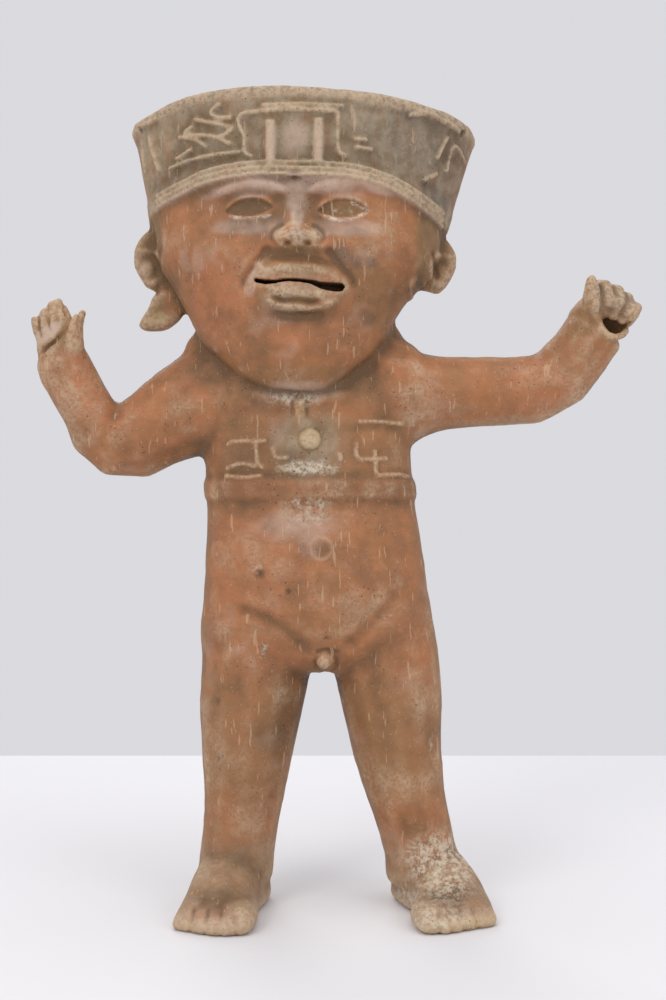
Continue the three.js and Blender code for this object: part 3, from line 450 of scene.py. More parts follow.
def fillet_tree(name):
    """Geometry Nodes: drawn lines are pressed on to the skin and rolled out as uneven fillets of clay."""
    tree = bpy.data.node_groups.new(name, "GeometryNodeTree")
    face = tree.interface
    face.new_socket("Lines", in_out="INPUT", socket_type="NodeSocketGeometry")
    face.new_socket("Skin", in_out="INPUT", socket_type="NodeSocketObject")
    face.new_socket("Width", in_out="INPUT", socket_type="NodeSocketFloat").default_value = 2.4
    face.new_socket("Proud", in_out="INPUT", socket_type="NodeSocketFloat").default_value = 0.4
    face.new_socket("Wander", in_out="INPUT", socket_type="NodeSocketFloat").default_value = 0.5
    face.new_socket("Uneven", in_out="INPUT", socket_type="NodeSocketFloat").default_value = 0.5
    face.new_socket("Seed", in_out="INPUT", socket_type="NodeSocketInt").default_value = 3
    face.new_socket("Clay", in_out="INPUT", socket_type="NodeSocketMaterial")
    face.new_socket("Fillets", in_out="OUTPUT", socket_type="NodeSocketGeometry")
    add = tree.nodes.new
    given = add("NodeGroupInput")
    handed = add("NodeGroupOutput")
    rope = add("GeometryNodeMeshToCurve")
    spaced = add("GeometryNodeResampleCurve")
    spaced.mode = "LENGTH"
    spaced.inputs["Length"].default_value = 1.2
    skin = add("GeometryNodeObjectInfo")
    skin.transform_space = "ORIGINAL"
    where = add("GeometryNodeInputPosition")
    front = add("ShaderNodeVectorMath")
    front.operation = "ADD"
    front.inputs[1].default_value = (0.0, -200.0, 0.0)
    press = add("GeometryNodeRaycast")
    press.inputs["Ray Direction"].default_value = (0.0, 1.0, 0.0)
    press.inputs["Ray Length"].default_value = 400.0
    lift = add("ShaderNodeVectorMath")
    lift.operation = "SCALE"
    raised = add("ShaderNodeVectorMath")
    raised.operation = "ADD"
    laid = add("GeometryNodeSetPosition")
    drift = add("ShaderNodeTexNoise")
    drift.noise_dimensions = "4D"
    drift.inputs["Scale"].default_value = 0.13
    drift.inputs["Detail"].default_value = 2.0
    centred = add("ShaderNodeVectorMath")
    centred.operation = "SUBTRACT"
    centred.inputs[1].default_value = (0.5, 0.5, 0.5)
    sway = add("ShaderNodeVectorMath")
    sway.operation = "SCALE"
    nudged = add("GeometryNodeSetPosition")
    swell = add("ShaderNodeTexNoise")
    swell.noise_dimensions = "4D"
    swell.inputs["Scale"].default_value = 0.22
    ranged = add("ShaderNodeMath")
    ranged.operation = "SUBTRACT"
    ranged.inputs[1].default_value = 0.5
    amount = add("ShaderNodeMath")
    amount.operation = "MULTIPLY"
    thick = add("ShaderNodeMath")
    thick.operation = "ADD"
    thick.inputs[1].default_value = 1.0
    girth = add("GeometryNodeSetCurveRadius")
    half = add("ShaderNodeMath")
    half.operation = "MULTIPLY"
    half.inputs[1].default_value = 0.5
    outline = add("GeometryNodeCurvePrimitiveCircle")
    outline.inputs["Resolution"].default_value = 12
    rolled = add("GeometryNodeCurveToMesh")
    rolled.inputs["Fill Caps"].default_value = True
    real = add("GeometryNodeRealizeInstances")
    coat = add("GeometryNodeSetMaterial")
    link(tree, given.outputs["Lines"], rope.inputs[0])
    link(tree, rope.outputs[0], spaced.inputs[0])
    link(tree, given.outputs["Skin"], skin.inputs["Object"])
    link(tree, skin.outputs["Geometry"], press.inputs["Target Geometry"])
    link(tree, where.outputs[0], front.inputs[0])
    link(tree, front.outputs[0], press.inputs["Source Position"])
    link(tree, press.outputs["Hit Normal"], lift.inputs[0])
    link(tree, given.outputs["Proud"], lift.inputs["Scale"])
    link(tree, press.outputs["Hit Position"], raised.inputs[0])
    link(tree, lift.outputs[0], raised.inputs[1])
    link(tree, spaced.outputs[0], laid.inputs["Geometry"])
    link(tree, press.outputs["Is Hit"], laid.inputs["Selection"])
    link(tree, raised.outputs[0], laid.inputs["Position"])
    link(tree, given.outputs["Seed"], drift.inputs["W"])
    link(tree, drift.outputs["Color"], centred.inputs[0])
    link(tree, centred.outputs[0], sway.inputs[0])
    link(tree, given.outputs["Wander"], sway.inputs["Scale"])
    link(tree, laid.outputs[0], nudged.inputs["Geometry"])
    link(tree, sway.outputs[0], nudged.inputs["Offset"])
    link(tree, given.outputs["Seed"], swell.inputs["W"])
    link(tree, swell.outputs["Fac"], ranged.inputs[0])
    link(tree, ranged.outputs[0], amount.inputs[0])
    link(tree, given.outputs["Uneven"], amount.inputs[1])
    link(tree, amount.outputs[0], thick.inputs[0])
    link(tree, nudged.outputs[0], girth.inputs["Curve"])
    link(tree, thick.outputs[0], girth.inputs["Radius"])
    link(tree, given.outputs["Width"], half.inputs[0])
    link(tree, half.outputs[0], outline.inputs["Radius"])
    link(tree, girth.outputs[0], rolled.inputs["Curve"])
    link(tree, outline.outputs[0], rolled.inputs["Profile Curve"])
    link(tree, rolled.outputs[0], real.inputs[0])
    link(tree, real.outputs[0], coat.inputs["Geometry"])
    link(tree, given.outputs["Clay"], coat.inputs["Material"])
    link(tree, coat.outputs[0], handed.inputs[0])
    return tree


def roll_fillets(tree, lines, skin, width, proud, wander, uneven, seed, clay):
    """Rolls drawn lines out on the skin and returns the fillets' points and triangles."""
    points, edges = [], []
    for line in lines:
        path = round_line(line, spacing=2.0) if len(line) > 2 else np.array(line, float)
        first = len(points)
        points.extend((x, -120.0, z) for x, z in path)
        edges.extend((first + i, first + i + 1) for i in range(len(path) - 1))
    piece = plain_mesh("fillet_lines", points, edges=edges)
    piece.data.materials.append(clay)
    roll = piece.modifiers.new("rolled", "NODES")
    roll.node_group = tree
    wanted = {"Skin": skin, "Width": width, "Proud": proud, "Wander": wander, "Uneven": uneven,
              "Seed": seed, "Clay": clay}
    for item in tree.interface.items_tree:
        if item.in_out == "INPUT" and item.name in wanted:
            roll[item.identifier] = wanted[item.name]
    bpy.context.view_layer.update()
    ready = piece.evaluated_get(bpy.context.evaluated_depsgraph_get())
    made = bpy.data.meshes.new_from_object(ready)
    piece.modifiers.remove(roll)
    old, piece.data = piece.data, made
    bpy.data.meshes.remove(old)
    found = mesh_arrays(piece)
    put_away(piece)
    return found


def join_soft(clay, added, blend):
    """Joins two fields of clay and presses the seam over blend millimetres."""
    share = np.clip(0.5 + 0.5 * (clay - added) / blend, 0, 1)
    return clay + (added - clay) * share - blend * share * (1 - share)


# Uneven hand work: smooth random lumps through space

def lumps(points, size, seed):
    """Random heights from -1 to 1 that change smoothly over size millimetres."""
    maker = np.random.default_rng(seed)
    table = maker.uniform(-1, 1, 4096).astype(np.float32)
    place = points / size + 1000.0
    whole = np.floor(place).astype(np.int64)
    part = place - whole
    part = part * part * (3 - 2 * part)
    height = np.zeros(len(points))
    for corner in np.ndindex(2, 2, 2):
        near = whole + np.array(corner)
        pick = (near[:, 0] * 73856093 ^ near[:, 1] * 19349663 ^ near[:, 2] * 83492791) & 4095
        weight = np.prod(np.where(np.array(corner), part, 1 - part), axis=1)
        height += weight * table[pick]
    return height


def many_lumps(points, size, seed, layers=3, fade=0.55):
    total = np.zeros(len(points))
    for layer in range(layers):
        total += fade ** layer * lumps(points, size / 2 ** layer, seed + layer)
    return total


# Shaping the figure

def rough_points():
    """The rough solid's points and triangles, merged, in the maker's millimetres."""
    points, triangles = mesh_arrays(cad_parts["sonriente_figure"])
    points = points / MILLIMETRE - STANDS_AT
    kept, index = np.unique(np.round(points, 3), axis=0, return_inverse=True)
    return kept, index.reshape(-1)[triangles]


def soften_block(block):
    """Rubs the facets away: little on hands, ears, belt and rim, most on the back of head and trunk."""
    raw = block.skin
    fine = rub(raw, 1.0)
    middling = rub(raw, 2.2)
    broad = rub(middling, 4.0)
    crisp = within(block, (-132, -92), (-40, 30), (330, 398))
    for places in (
        ((46, 96), (-40, 30), (352, 400)),
        ((-200, -150), (-70, 20), (305, 375)),
        ((138, 190), (-60, 20), (325, 385)),
        ((-38, -2), (-90, -30), (376, 402)),
        ((-80, 70), (-70, 60), (237, 253)),
        ((-130, 90), (-70, 60), (452, 480)),
    ):
        crisp = np.maximum(crisp, within(block, *places, edge=4))
    smooth = within(block, (-100, 62), (12, 90), (300, 450), edge=14)
    smooth = np.maximum(smooth, within(block, (-80, 60), (14, 90), (150, 234), edge=12))
    field = middling + (broad - middling) * smooth
    return field + (fine - field) * crisp, broad


def close_mouth(block):
    """Fills the rough slit, so that a livelier one can be cut."""
    low, high = 347.5, 368.0
    z = block.z
    below, above = (int(np.argmin(abs(z - level))) for level in (low, high))
    band = slice(below, above + 1)
    part = ((z[band] - z[below]) / (z[above] - z[below])).reshape(1, 1, -1)
    filled = block.skin[:, :, below:below + 1] * (1 - part) + block.skin[:, :, above:above + 1] * part
    across = (step(-54, -48, block.x) * (1 - step(11, 17, block.x))).reshape(-1, 1, 1)
    deep = (1 - step(-36, -26, block.y)).reshape(1, -1, 1)
    share = (across * deep).astype(np.float32)
    block.skin[:, :, band] = block.skin[:, :, band] * (1 - share) + filled * share


def outline_of(places):
    """The tight outline round places in a plan, counter-clockwise."""
    places = sorted(set(map(tuple, places)))

    def half(run):
        line = []
        for px, py in run:
            while len(line) > 1 and ((line[-1][0] - line[-2][0]) * (py - line[-2][1])
                                     - (line[-1][1] - line[-2][1]) * (px - line[-2][0])) <= 0:
                line.pop()
            line.append((px, py))
        return line[:-1]

    return half(places) + half(reversed(places))


def fill_between_toes(block):
    """Fills the gaps between the rough toes, so that each foot ends in one smooth wedge."""
    front = block.y < TOES_BEHIND
    for side in (block.x < BETWEEN_FEET, block.x >= BETWEEN_FEET):
        for level in np.flatnonzero((block.z > -3) & (block.z < TOES_BELOW)):
            layer = block.skin[np.ix_(side, front)][:, :, level]
            inside = np.argwhere(layer < 0)
            if len(inside) < 3:
                continue
            across, deep = block.x[side], block.y[front]
            corners = outline_of((across[i], deep[j]) for i, j in inside)
            away = np.full(layer.shape, -1e3)
            for (ax, ay), (bx, by) in zip(corners, corners[1:] + corners[:1]):
                run = math.hypot(bx - ax, by - ay)
                out = ((by - ay) * (across.reshape(-1, 1) - ax) - (bx - ax) * (deep.reshape(1, -1) - ay)) / run
                away = np.maximum(away, out)
            block.skin[np.ix_(side, front, [level])] = np.minimum(layer, away - 0.5)[:, :, None]


def rolled_clay(block, stations):
    """A roll of clay through stations (x, y, z, radius), as the part of the block round it and its field."""
    stations = np.array(stations, float)
    reach = stations[:, 3].max() + 9
    low, high = stations[:, :3].min(0) - reach, stations[:, :3].max(0) + reach
    part = tuple(slice(*np.searchsorted(line, (a, b)))
                 for line, a, b in zip((block.x, block.y, block.z), low, high))
    x, y, z = np.meshgrid(block.x[part[0]], block.y[part[1]], block.z[part[2]], indexing="ij")
    field = np.full(x.shape, 99.0, np.float32)
    for a, b in zip(stations, stations[1:]):
        run = b[:3] - a[:3]
        t = ((x - a[0]) * run[0] + (y - a[1]) * run[1] + (z - a[2]) * run[2]) / max(run @ run, 1e-9)
        t = np.clip(t, 0, 1)
        away = np.sqrt((x - a[0] - t * run[0]) ** 2 + (y - a[1] - t * run[1]) ** 2
                       + (z - a[2] - t * run[2]) ** 2)
        field = np.minimum(field, away - (a[3] + t * (b[3] - a[3])))
    return part, field


def add_roll(block, stations, blend=1.0):
    part, field = rolled_clay(block, stations)
    block.skin[part] = join_soft(block.skin[part], field, blend)


def cut_roll(block, stations, blend=0.6):
    part, field = rolled_clay(block, stations)
    block.skin[part] = -join_soft(-block.skin[part], field, blend)


def model_hands(block):
    """Sets fingers and thumbs on the rough hands, and presses the lines between them."""
    for stations in OPEN_HAND:
        add_roll(block, stations, 1.6)
    for stations in OPEN_HAND_LINES:
        cut_roll(block, stations)
    for stations in CLOSED_HAND:
        add_roll(block, stations, 1.0)
    for stations in CLOSED_HAND_LINES:
        cut_roll(block, stations)


def cut_mouth(block):
    """Cuts the wavy slit between the lips, deep into the head."""
    line = np.array(MOUTH_LINE)
    level = np.interp(block.x, line[:, 0], line[:, 1])
    opens = np.interp(block.x, line[:, 0], MOUTH_OPENS)
    ends = np.minimum(block.x - line[0, 0], line[-1, 0] - block.x)
    opens = np.where(ends < 0, ends, np.minimum(opens, 0.4 + np.maximum(ends, 0) * 1.6))
    half = opens.reshape(-1, 1, 1) - np.abs(block.z.reshape(1, 1, -1) - level.reshape(-1, 1, 1))
    inner = np.argmax(block.skin[:, :, int(np.argmin(abs(block.z - 362)))] < 0, axis=1)
    front = block.y[inner].reshape(-1, 1, 1)
    depth = front + MOUTH_DEPTH - block.y.reshape(1, -1, 1)
    slit = np.minimum(half, np.where(depth > 6, 6, depth))
    near = (block.x > -50) & (block.x < 12)
    field = block.skin[near]
    block.skin[near] = np.maximum(field, slit[near].astype(np.float32))


def carve_relief(block):
    """Lays the relief of the face and the trunk into the skin of the front."""
    x, z = block.x.reshape(-1, 1), block.z.reshape(1, -1)
    front = (1 - step(-14, -2, block.y)).reshape(1, -1, 1).astype(np.float32)
    ear_front = (1 - step(0, 6, block.y)).reshape(1, -1, 1).astype(np.float32)
    for made, (low, high), share in ((model_face, (306, 424), front), (model_trunk, (130, 304), front),
                                     (model_feet, (-4, 20), front), (model_ears, (330, 404), ear_front)):
        band = np.flatnonzero((block.z > low) & (block.z < high))
        band = slice(band[0], band[-1] + 1)
        height = made(x, z[:, band])
        fade = step(low, low + 4, z[:, band]) * (1 - step(high - 4, high, z[:, band]))
        block.skin[:, :, band] -= (height * fade).astype(np.float32)[:, None, :] * share


def drill(block, centre, radius, depth, deep):
    """Presses a round hole into the front."""
    away = np.hypot(block.x.reshape(-1, 1, 1) - centre[0], block.z.reshape(1, 1, -1) - centre[1])
    hole = np.minimum(radius - away, deep + depth - block.y.reshape(1, -1, 1))
    near = (abs(block.x - centre[0]) < radius + 6)
    block.skin[near] = np.maximum(block.skin[near], hole[near].astype(np.float32))


def thin_out(piece, wanted, keep):
    """Takes triangles out where the skin is plain; keep is 1 on the points that stay fine."""
    group = piece.vertex_groups.new(name="plain_skin")
    levels = np.round((1 - keep) * 4) / 4
    for level in np.unique(levels):
        group.add(np.flatnonzero(levels == level).tolist(), float(0.25 + 0.75 * level), "REPLACE")
    count = sum(len(p.vertices) - 2 for p in piece.data.polygons)
    thin = piece.modifiers.new("thin", "DECIMATE")
    thin.ratio = min(1.0, wanted / count)
    thin.vertex_group = group.name
    thin.vertex_group_factor = 1.0
    thin.use_collapse_triangulate = True
    ready = piece.evaluated_get(bpy.context.evaluated_depsgraph_get())
    made = bpy.data.meshes.new_from_object(ready)
    piece.modifiers.remove(thin)
    old, piece.data = piece.data, made
    bpy.data.meshes.remove(old)
    piece.vertex_groups.clear()


def shape_figure(clay):
    points, triangles = rough_points()
    block = ClayBlock(points, triangles)
    close_mouth(block)
    fill_between_toes(block)
    block.skin, _ = soften_block(block)
    model_hands(block)
    carve_relief(block)
    cut_mouth(block)
    skin_points, quads = block.surface()
    skin = face_mesh("skin_to_lay_on", skin_points, quads)
    tree = fillet_tree("Rolled clay fillets")
    for lines, width, proud, wander, uneven, seed in (
        (HEADDRESS_FILLETS, 2.5, 0.7, 1.0, 0.6, 5),
        ([[(px, pz + rise) for px, pz in HAIRLINE] for rise in HAIRLINE_RISES], 2.3, 0.6, 0.8, 0.6, 7),
        (PANEL_BARS, 6.4, -0.9, 0.8, 0.25, 8),
        (BREAST_FILLETS, 2.3, 0.5, 0.9, 0.6, 11),
    ):
        added = roll_fillets(tree, lines, skin, width, proud, wander, uneven, seed, clay)
        block.skin = join_soft(block.skin, block.read(block.cast(*added)), 0.9)
    put_away(skin)
    drill(block, (76.7, 453.0), 2.2, 7.0, -14.0)
    drill(block, (-113.4, 455.5), 1.6, 6.0, -10.0)
    return block


def finish_skin(block):
    """Turns the block into one closed skin, uneven as hand work is, and sets it in the frame."""
    points, quads = block.surface()
    points = points.astype(np.float64)
    piece = face_mesh("figure_skin", points, quads)
    normals = np.empty(len(points) * 3, np.float32)
    piece.data.vertices.foreach_get("normal", normals)
    normals = normals.reshape(-1, 3).astype(np.float64)
    broad = rub(block.skin, 4.0)
    outwards = 1.0 if np.mean(block.at(broad, points + normals * 2) > 0) > 0.5 else -1.0
    sway = many_lumps(points, 26, 21, 2) * 0.35 + many_lumps(points, 7, 31, 2) * 0.16
    sway += many_lumps(points, 2.6, 41, 2) * 0.07
    points += normals * outwards * (sway - 0.15)[:, None]
    low, high = (np.array(corner) / MILLIMETRE - STANDS_AT for corner in cad_box)
    points = np.clip(points, low + 0.05, high - 0.05)
    points[:, 2] = np.maximum(points[:, 2], 0.0)
    piece.data.vertices.foreach_set("co", np.ascontiguousarray(points, np.float32).ravel())
    piece.data.update()
    if outwards < 0:
        piece.data.flip_normals()
    fine = fine_places(points)
    thin_out(piece, FINEST_TRIANGLES, fine)
    return piece, broad


def fine_places(points):
    """1 on the face, the headdress front and the hands, down to 0 on plain skin."""
    x, y, z = points.T
    face = step(300, 312, z) * step(6, -4, y)
    hands = np.maximum(step(-146, -152, x) * step(300, 306, z), step(134, 140, x) * step(318, 326, z))
    band = 0.6 * step(236, 242, z) * step(290, 284, z) * step(0, -8, y)
    toes = 0.5 * step(16, 10, z) * step(-20, -30, y)
    return np.clip(np.maximum.reduce((face, hands, band, toes)), 0, 1)


# Where the colours of the clay, the slip and the earth lie, and where shade and highlights are painted

FRONT, BACK = (-2.0, -12.0), (2.0, 14.0)


class Coats:
    """Shares from 0 to 1 for every point of the skin, one set for each coat of colour."""

    NAMES = ("slip", "bloom", "olive_and_shade", "fresh", "soot", "dirt_and_shade", "lime_and_highlight", "ochre", "hollow", "worn_and_highlight")

    def __init__(self, points, seen):
        self.points = points
        self.x, self.y, self.z = points.T
        self.seen = seen
        self.ragged = 2.2 * many_lumps(points, 6.0, 77, 3)
        self.share = {name: np.zeros(len(points)) for name in self.NAMES}

    def lay(self, name, share):
        self.share[name] = np.maximum(self.share[name], np.clip(share, 0, 1))

    def spot(self, name, centre, radii, share=1.0, edge=0.5, turn=0.0, ragged=1.0):
        """A ragged round spot on the front; edge is the part of its radius that fades."""
        turn = math.radians(turn)
        dx = self.x - centre[0]
        dz = self.z - centre[1]
        u = (dx * math.cos(turn) + dz * math.sin(turn)) / radii[0]
        v = (dz * math.cos(turn) - dx * math.sin(turn)) / radii[1]
        away = np.hypot(u, v) + ragged * self.ragged / (radii[0] + radii[1])
        self.lay(name, share * (1 - step(1 - edge, 1 + edge * 0.4, away)) * self.seen)

    def line(self, name, places, width, share=1.0, ragged=0.25):
        away, _ = far_from(round_line(places, 2.0), self.x.astype(np.float32), self.z.astype(np.float32))
        away = away + ragged * self.ragged
        self.lay(name, share * (1 - step(width * 0.35, width, away)) * self.seen)

    def clear(self, name, centre, radii, share=1.0):
        away = np.hypot((self.x - centre[0]) / radii[0], (self.z - centre[1]) / radii[1])
        self.share[name] = self.share[name] * (1 - share * (1 - step(0.6, 1.2, away)) * self.seen)


def coat_figure(points, curve, facing):
    x, y, z = points.T
    coats = Coats(points, 1 - step(-8, 4, y))
    wave = coats.ragged
    # headdress: buff slip in front, greyer and sooty to the right
    hairline = np.interp(x, *np.array(((-125, 398),) + HAIRLINE + ((90, 385),)).T)
    hairline = hairline + step(10, 50, y) * (409 - hairline)
    headdress = step(-1.5, 1.0, z - hairline + 0.2 * wave) * step(-150, -140, x) * (1 - step(110, 120, x))
    in_front = 1 - step(-6, 10, y)
    coats.lay("slip", headdress * (0.45 + 0.5 * in_front))
    coats.lay("slip", step(120, 60, np.hypot(x + 20, (z - 420) * 1.2)) * headdress * in_front)
    coats.spot("soot", (52, 445), (30, 22), 0.62)
    coats.spot("soot", (60, 414.5), (14, 6), 0.75, turn=-30)
    coats.lay("soot", headdress * step(0, 50, x) * step(450, 458, z) * 0.85)
    coats.lay("soot", headdress * step(-10, 40, x) * 0.35)
    coats.line("soot", ((-100, 462), (-60, 466.5), (0, 467), (40, 464), (72, 455)), 4.0, 0.7)
    coats.spot("bloom", (-34.6, 437), (3.4, 13), 0.9, ragged=0.3)
    coats.spot("bloom", (-8.1, 437), (3.4, 13), 0.8, ragged=0.3)
    coats.spot("bloom", (-21, 440), (9, 10), 0.5)
    coats.line("bloom", HAIRLINE, 2.6, 0.6)
    # forehead, nose bridge and under the eyes: pale bloom
    coats.spot("bloom", (-21, 414), (46, 6.0), 0.95)
    coats.spot("bloom", (-20, 405), (7, 10), 0.75)
    coats.spot("bloom", (-58, 412.5), (18, 3.5), 0.8, turn=12)
    coats.spot("bloom", (22, 413.5), (16, 3.5), 0.7, turn=-14)
    coats.spot("bloom", (-46, 391), (22, 6.0), 0.8)
    coats.spot("bloom", (8, 390), (22, 6.0), 0.6)
    coats.spot("bloom", (-19.5, 396), (4.5, 9), 0.9)
    coats.spot("bloom", (-33, 388), (9, 5), 0.6, turn=-35)
    coats.spot("bloom", (-6, 388), (9, 5), 0.6, turn=35)
    coats.spot("bloom", (-46, 408.5), (12, 2.6), 0.6)
    coats.spot("bloom", (6, 408.5), (12, 2.6), 0.5)
    coats.spot("fresh", (-29, 410), (7, 4), 1.0, turn=-20)
    coats.spot("fresh", (-10, 408), (5, 6), 1.0)
    coats.spot("fresh", (16, 411), (14, 3.5), 0.9)
    coats.spot("fresh", (-62, 408), (10, 4), 0.7)
    coats.spot("fresh", (-66, 352), (20, 30), 0.8)
    coats.spot("fresh", (-36, 372), (8, 10), 0.7)
    coats.spot("fresh", (-4, 376), (7, 7), 0.7)
    coats.spot("fresh", (-20, 329), (26, 8), 0.6)
    # eyes, nose, lips
    for middle in ((-46.5, 401), (5.5, 400.3)):
        coats.spot("olive_and_shade", middle, (12.5, 4.2), 0.9, ragged=0.3)
    # painted shade in the creases under the upper lids
    coats.line("dirt_and_shade", ((-59.5, 400), (-53, 404.6), (-46, 406), (-39, 404.5), (-33.5, 401.5)), 1.5, 0.6, 0.12)
    coats.line("dirt_and_shade", ((-8, 399.5), (-1, 404.3), (6, 406.2), (13, 404.5), (19, 401)), 1.5, 0.6, 0.12)
    # pale lines on the lower lids; round the right eye's outer corner and on its ball, painted highlights
    coats.line("lime_and_highlight", ((-57, 396.6), (-45, 395.2), (-35, 396.6)), 1.5, 0.6, 0.15)
    coats.line("lime_and_highlight", ((-4, 396), (4, 394.2), (13, 396.6), (19.5, 400.0), (16, 402), (10, 404.6)), 1.4, 0.75, 0.15)
    coats.line("lime_and_highlight", ((1, 399.8), (6.5, 399.2), (10.5, 397.6), (9.2, 401.5)), 1.2, 0.6, 0.15)
    coats.spot("soot", (-19.2, 383.5), (6.2, 4.6), 0.85, ragged=0.35)
    coats.spot("soot", (-19.5, 394.5), (2.2, 4.5), 0.35, ragged=0.3)
    coats.line("ochre", ((-30, 383), (-27, 388), (-22, 391)), 1.2, 0.55)
    coats.line("ochre", ((-9, 381), (-10.5, 386), (-14, 389)), 1.2, 0.55)
    coats.spot("dirt_and_shade", (-8.4, 384.3), (1.1, 1.6), 0.8, ragged=0.1)
    coats.spot("olive_and_shade", (-20, 376), (17, 4.0), 0.95)
    coats.spot("olive_and_shade", (-35, 371), (7, 4), 0.7, turn=40)
    coats.spot("olive_and_shade", (-20, 365.5), (25, 4.6), 0.85)
    coats.spot("olive_and_shade", (-20, 352), (24, 6.5), 0.9)
    coats.line("olive_and_shade", ((-42, 353), (-34, 346.5), (-21, 343.8), (-9, 344.0), (1, 348.0), (6, 354)), 3.2, 0.8)
    # painted shade in the hollows under the lower lip's ridges
    coats.spot("dirt_and_shade", (-28.5, 349), (4.6, 2.2), 0.55, turn=-12, ragged=0.3)
    coats.spot("dirt_and_shade", (-11.5, 349), (4.6, 2.2), 0.5, turn=12, ragged=0.3)
    coats.spot("dirt_and_shade", (-16, 342.6), (6, 1.4), 0.5, ragged=0.3)
    coats.line("bloom", ((-46, 359), (-43, 366), (-40, 370)), 2.4, 0.6)
    coats.spot("bloom", (-46, 356), (4, 6), 0.5)
    # purple-grey stains on the right cheek
    coats.spot("soot", (4.5, 374.5), (7, 6.0), 0.62)
    coats.spot("soot", (11, 371), (6, 5), 0.5)
    coats.spot("soot", (21, 371), (4.5, 4), 0.5)
    coats.spot("soot", (30, 376), (8, 3), 0.25)
    coats.spot("soot", (19, 341), (6, 5), 0.35)
    coats.spot("soot", (12, 387), (8, 4), 0.3)
    coats.spot("olive_and_shade", (28, 352), (12, 20), 0.55)
    coats.spot("olive_and_shade", (16, 360), (9, 9), 0.5)
    # ears
    coats.lay("olive_and_shade", step(-96, -101, x + 0.5 * wave) * step(330, 334, z) * (1 - step(402, 410, z)) * 0.9
              * step(-150, -140, x))
    coats.lay("olive_and_shade", step(45, 51, x + 0.5 * wave) * step(350, 354, z) * (1 - step(400, 406, z)) * 0.95
              * (1 - step(92, 100, x)))
    coats.spot("ochre", (-103, 346), (8, 4.5), 0.85)
    coats.spot("ochre", (-118, 377), (2.5, 9), 0.5)
    coats.spot("dirt_and_shade", (52, 365), (4.5, 4.5), 0.7)
    coats.spot("dirt_and_shade", (47, 360), (5, 2.6), 0.7)
    coats.spot("dirt_and_shade", (61, 374), (1.6, 5.5), 0.75, turn=30, ragged=0.15)
    coats.spot("dirt_and_shade", (71.5, 383), (1.0, 2.8), 0.85, ragged=0.1)
    coats.line("dirt_and_shade", ((74, 364), (68, 354), (60, 350)), 2.2, 0.45)
    # chin shadow, collar, strap and pendant
    coats.lay("olive_and_shade", 0.55 * step(318, 308, z) * step(290, 300, z) * step(-70, -50, x) * (1 - step(20, 36, x)))
    coats.spot("lime_and_highlight", (-22, 296), (17, 3.6), 0.7)
    coats.spot("bloom", (-20, 300), (24, 5), 0.7)
    coats.spot("ochre", (-18.5, 291), (3.2, 6), 0.7)
    coats.spot("ochre", (-13, 273), (7.5, 7.5), 0.85, ragged=0.3)
    coats.spot("lime_and_highlight", (-13, 257), (19, 4.5), 0.75)
    coats.spot("lime_and_highlight", (-15, 236), (14, 4.5), 0.55)
    coats.spot("slip", (-14, 270), (22, 22), 0.75)
    coats.lay("olive_and_shade", 0.45 * step(249, 252, z) * (1 - step(284, 290, z)) * step(-66, -60, x)
              * (1 - step(40, 48, x)) * coats.seen)
    coats.spot("soot", (-52, 262), (14, 9), 0.22)
    coats.lay("dirt_and_shade", 0.5 * step(236, 239.5, z + 0.5 * wave) * (1 - step(249, 252.5, z + 0.5 * wave))
              * step(-70, -64, x) * (1 - step(50, 56, x)))
    coats.clear("dirt_and_shade", (-14, 246), (18, 12), 0.7)
    # belly marks
    coats.line("bloom", ((-13, 211.7), (-10.5, 206.5), (-6.7, 205.2), (-2, 207), (-0.4, 211.7), (-2, 216.5),
                         (-6.7, 218.2), (-11, 216.5), (-13, 211.7)), 1.6, 0.35, 0.4)
    coats.spot("bloom", (-12, 214), (8, 7), 0.5)
    coats.spot("bloom", (-20, 224), (26, 9), 0.5)
    coats.spot("lime_and_highlight", (-14, 229), (16, 4), 0.4)
    coats.spot("dirt_and_shade", (-41.1, 197.6), (3.2, 3.2), 0.9, ragged=0.3)
    coats.line("lime_and_highlight", ((-44.5, 199), (-42, 201), (-38.5, 200)), 1.1, 0.7)
    coats.spot("dirt_and_shade", (-24.9, 187.4), (1.4, 1.4), 0.9, ragged=0.1)
    coats.spot("dirt_and_shade", (-3.9, 160.9), (1.5, 1.5), 0.9, ragged=0.1)
    coats.line("lime_and_highlight", ((-37.9, 158.8), (-39.6, 152), (-40.4, 146.6)), 1.0, 0.6, 0.1)
    coats.line("lime_and_highlight", ((24.1, 172.6), (31.7, 172.4)), 0.9, 0.6, 0.1)
    coats.line("dirt_and_shade", ((-10.5, 152.5), (-4, 154.3), (3, 152.5)), 1.3, 0.7, 0.1)
    coats.line("lime_and_highlight", ((57.3, 95.7), (58.2, 84.1)), 1.1, 0.7, 0.1)
    coats.spot("dirt_and_shade", (43.5, 94.5), (1.5, 1.5), 0.8, ragged=0.1)
    coats.spot("dirt_and_shade", (-66.6, 124.4), (2.4, 2.8), 0.8, ragged=0.2)
    coats.spot("dirt_and_shade", (-64.3, 89.9), (2.0, 2.4), 0.7, ragged=0.2)
    # legs and feet: earth on the inner sides, buff feet with a pale crust
    coats.lay("dirt_and_shade", 0.62 * step(-40, -30, x + 0.8 * wave) * (1 - step(-8, 0, x)) * step(84, 100, z)
              * (1 - step(136, 146, z)))
    coats.lay("olive_and_shade", 0.5 * step(150, 120, z) * step(60, 80, z))
    feet = 1 - step(26, 52, z + 2.2 * wave)
    coats.lay("slip", 0.55 * feet)
    coats.lay("bloom", 0.4 * feet * step(16, 4, z + wave))
    coats.spot("lime_and_highlight", (62, 30), (24, 18), 0.75)
    coats.spot("lime_and_highlight", (52, 8), (24, 7), 0.55)
    coats.spot("ochre", (70, 4), (26, 4.5), 0.9)
    coats.spot("ochre", (-70, 3), (28, 3.5), 0.5)
    # darker along the lowest 2.6 mm, where the feet meet the floor
    coats.lay("dirt_and_shade", 0.45 * (1 - step(0.8, 2.6, z + 0.3 * wave)))
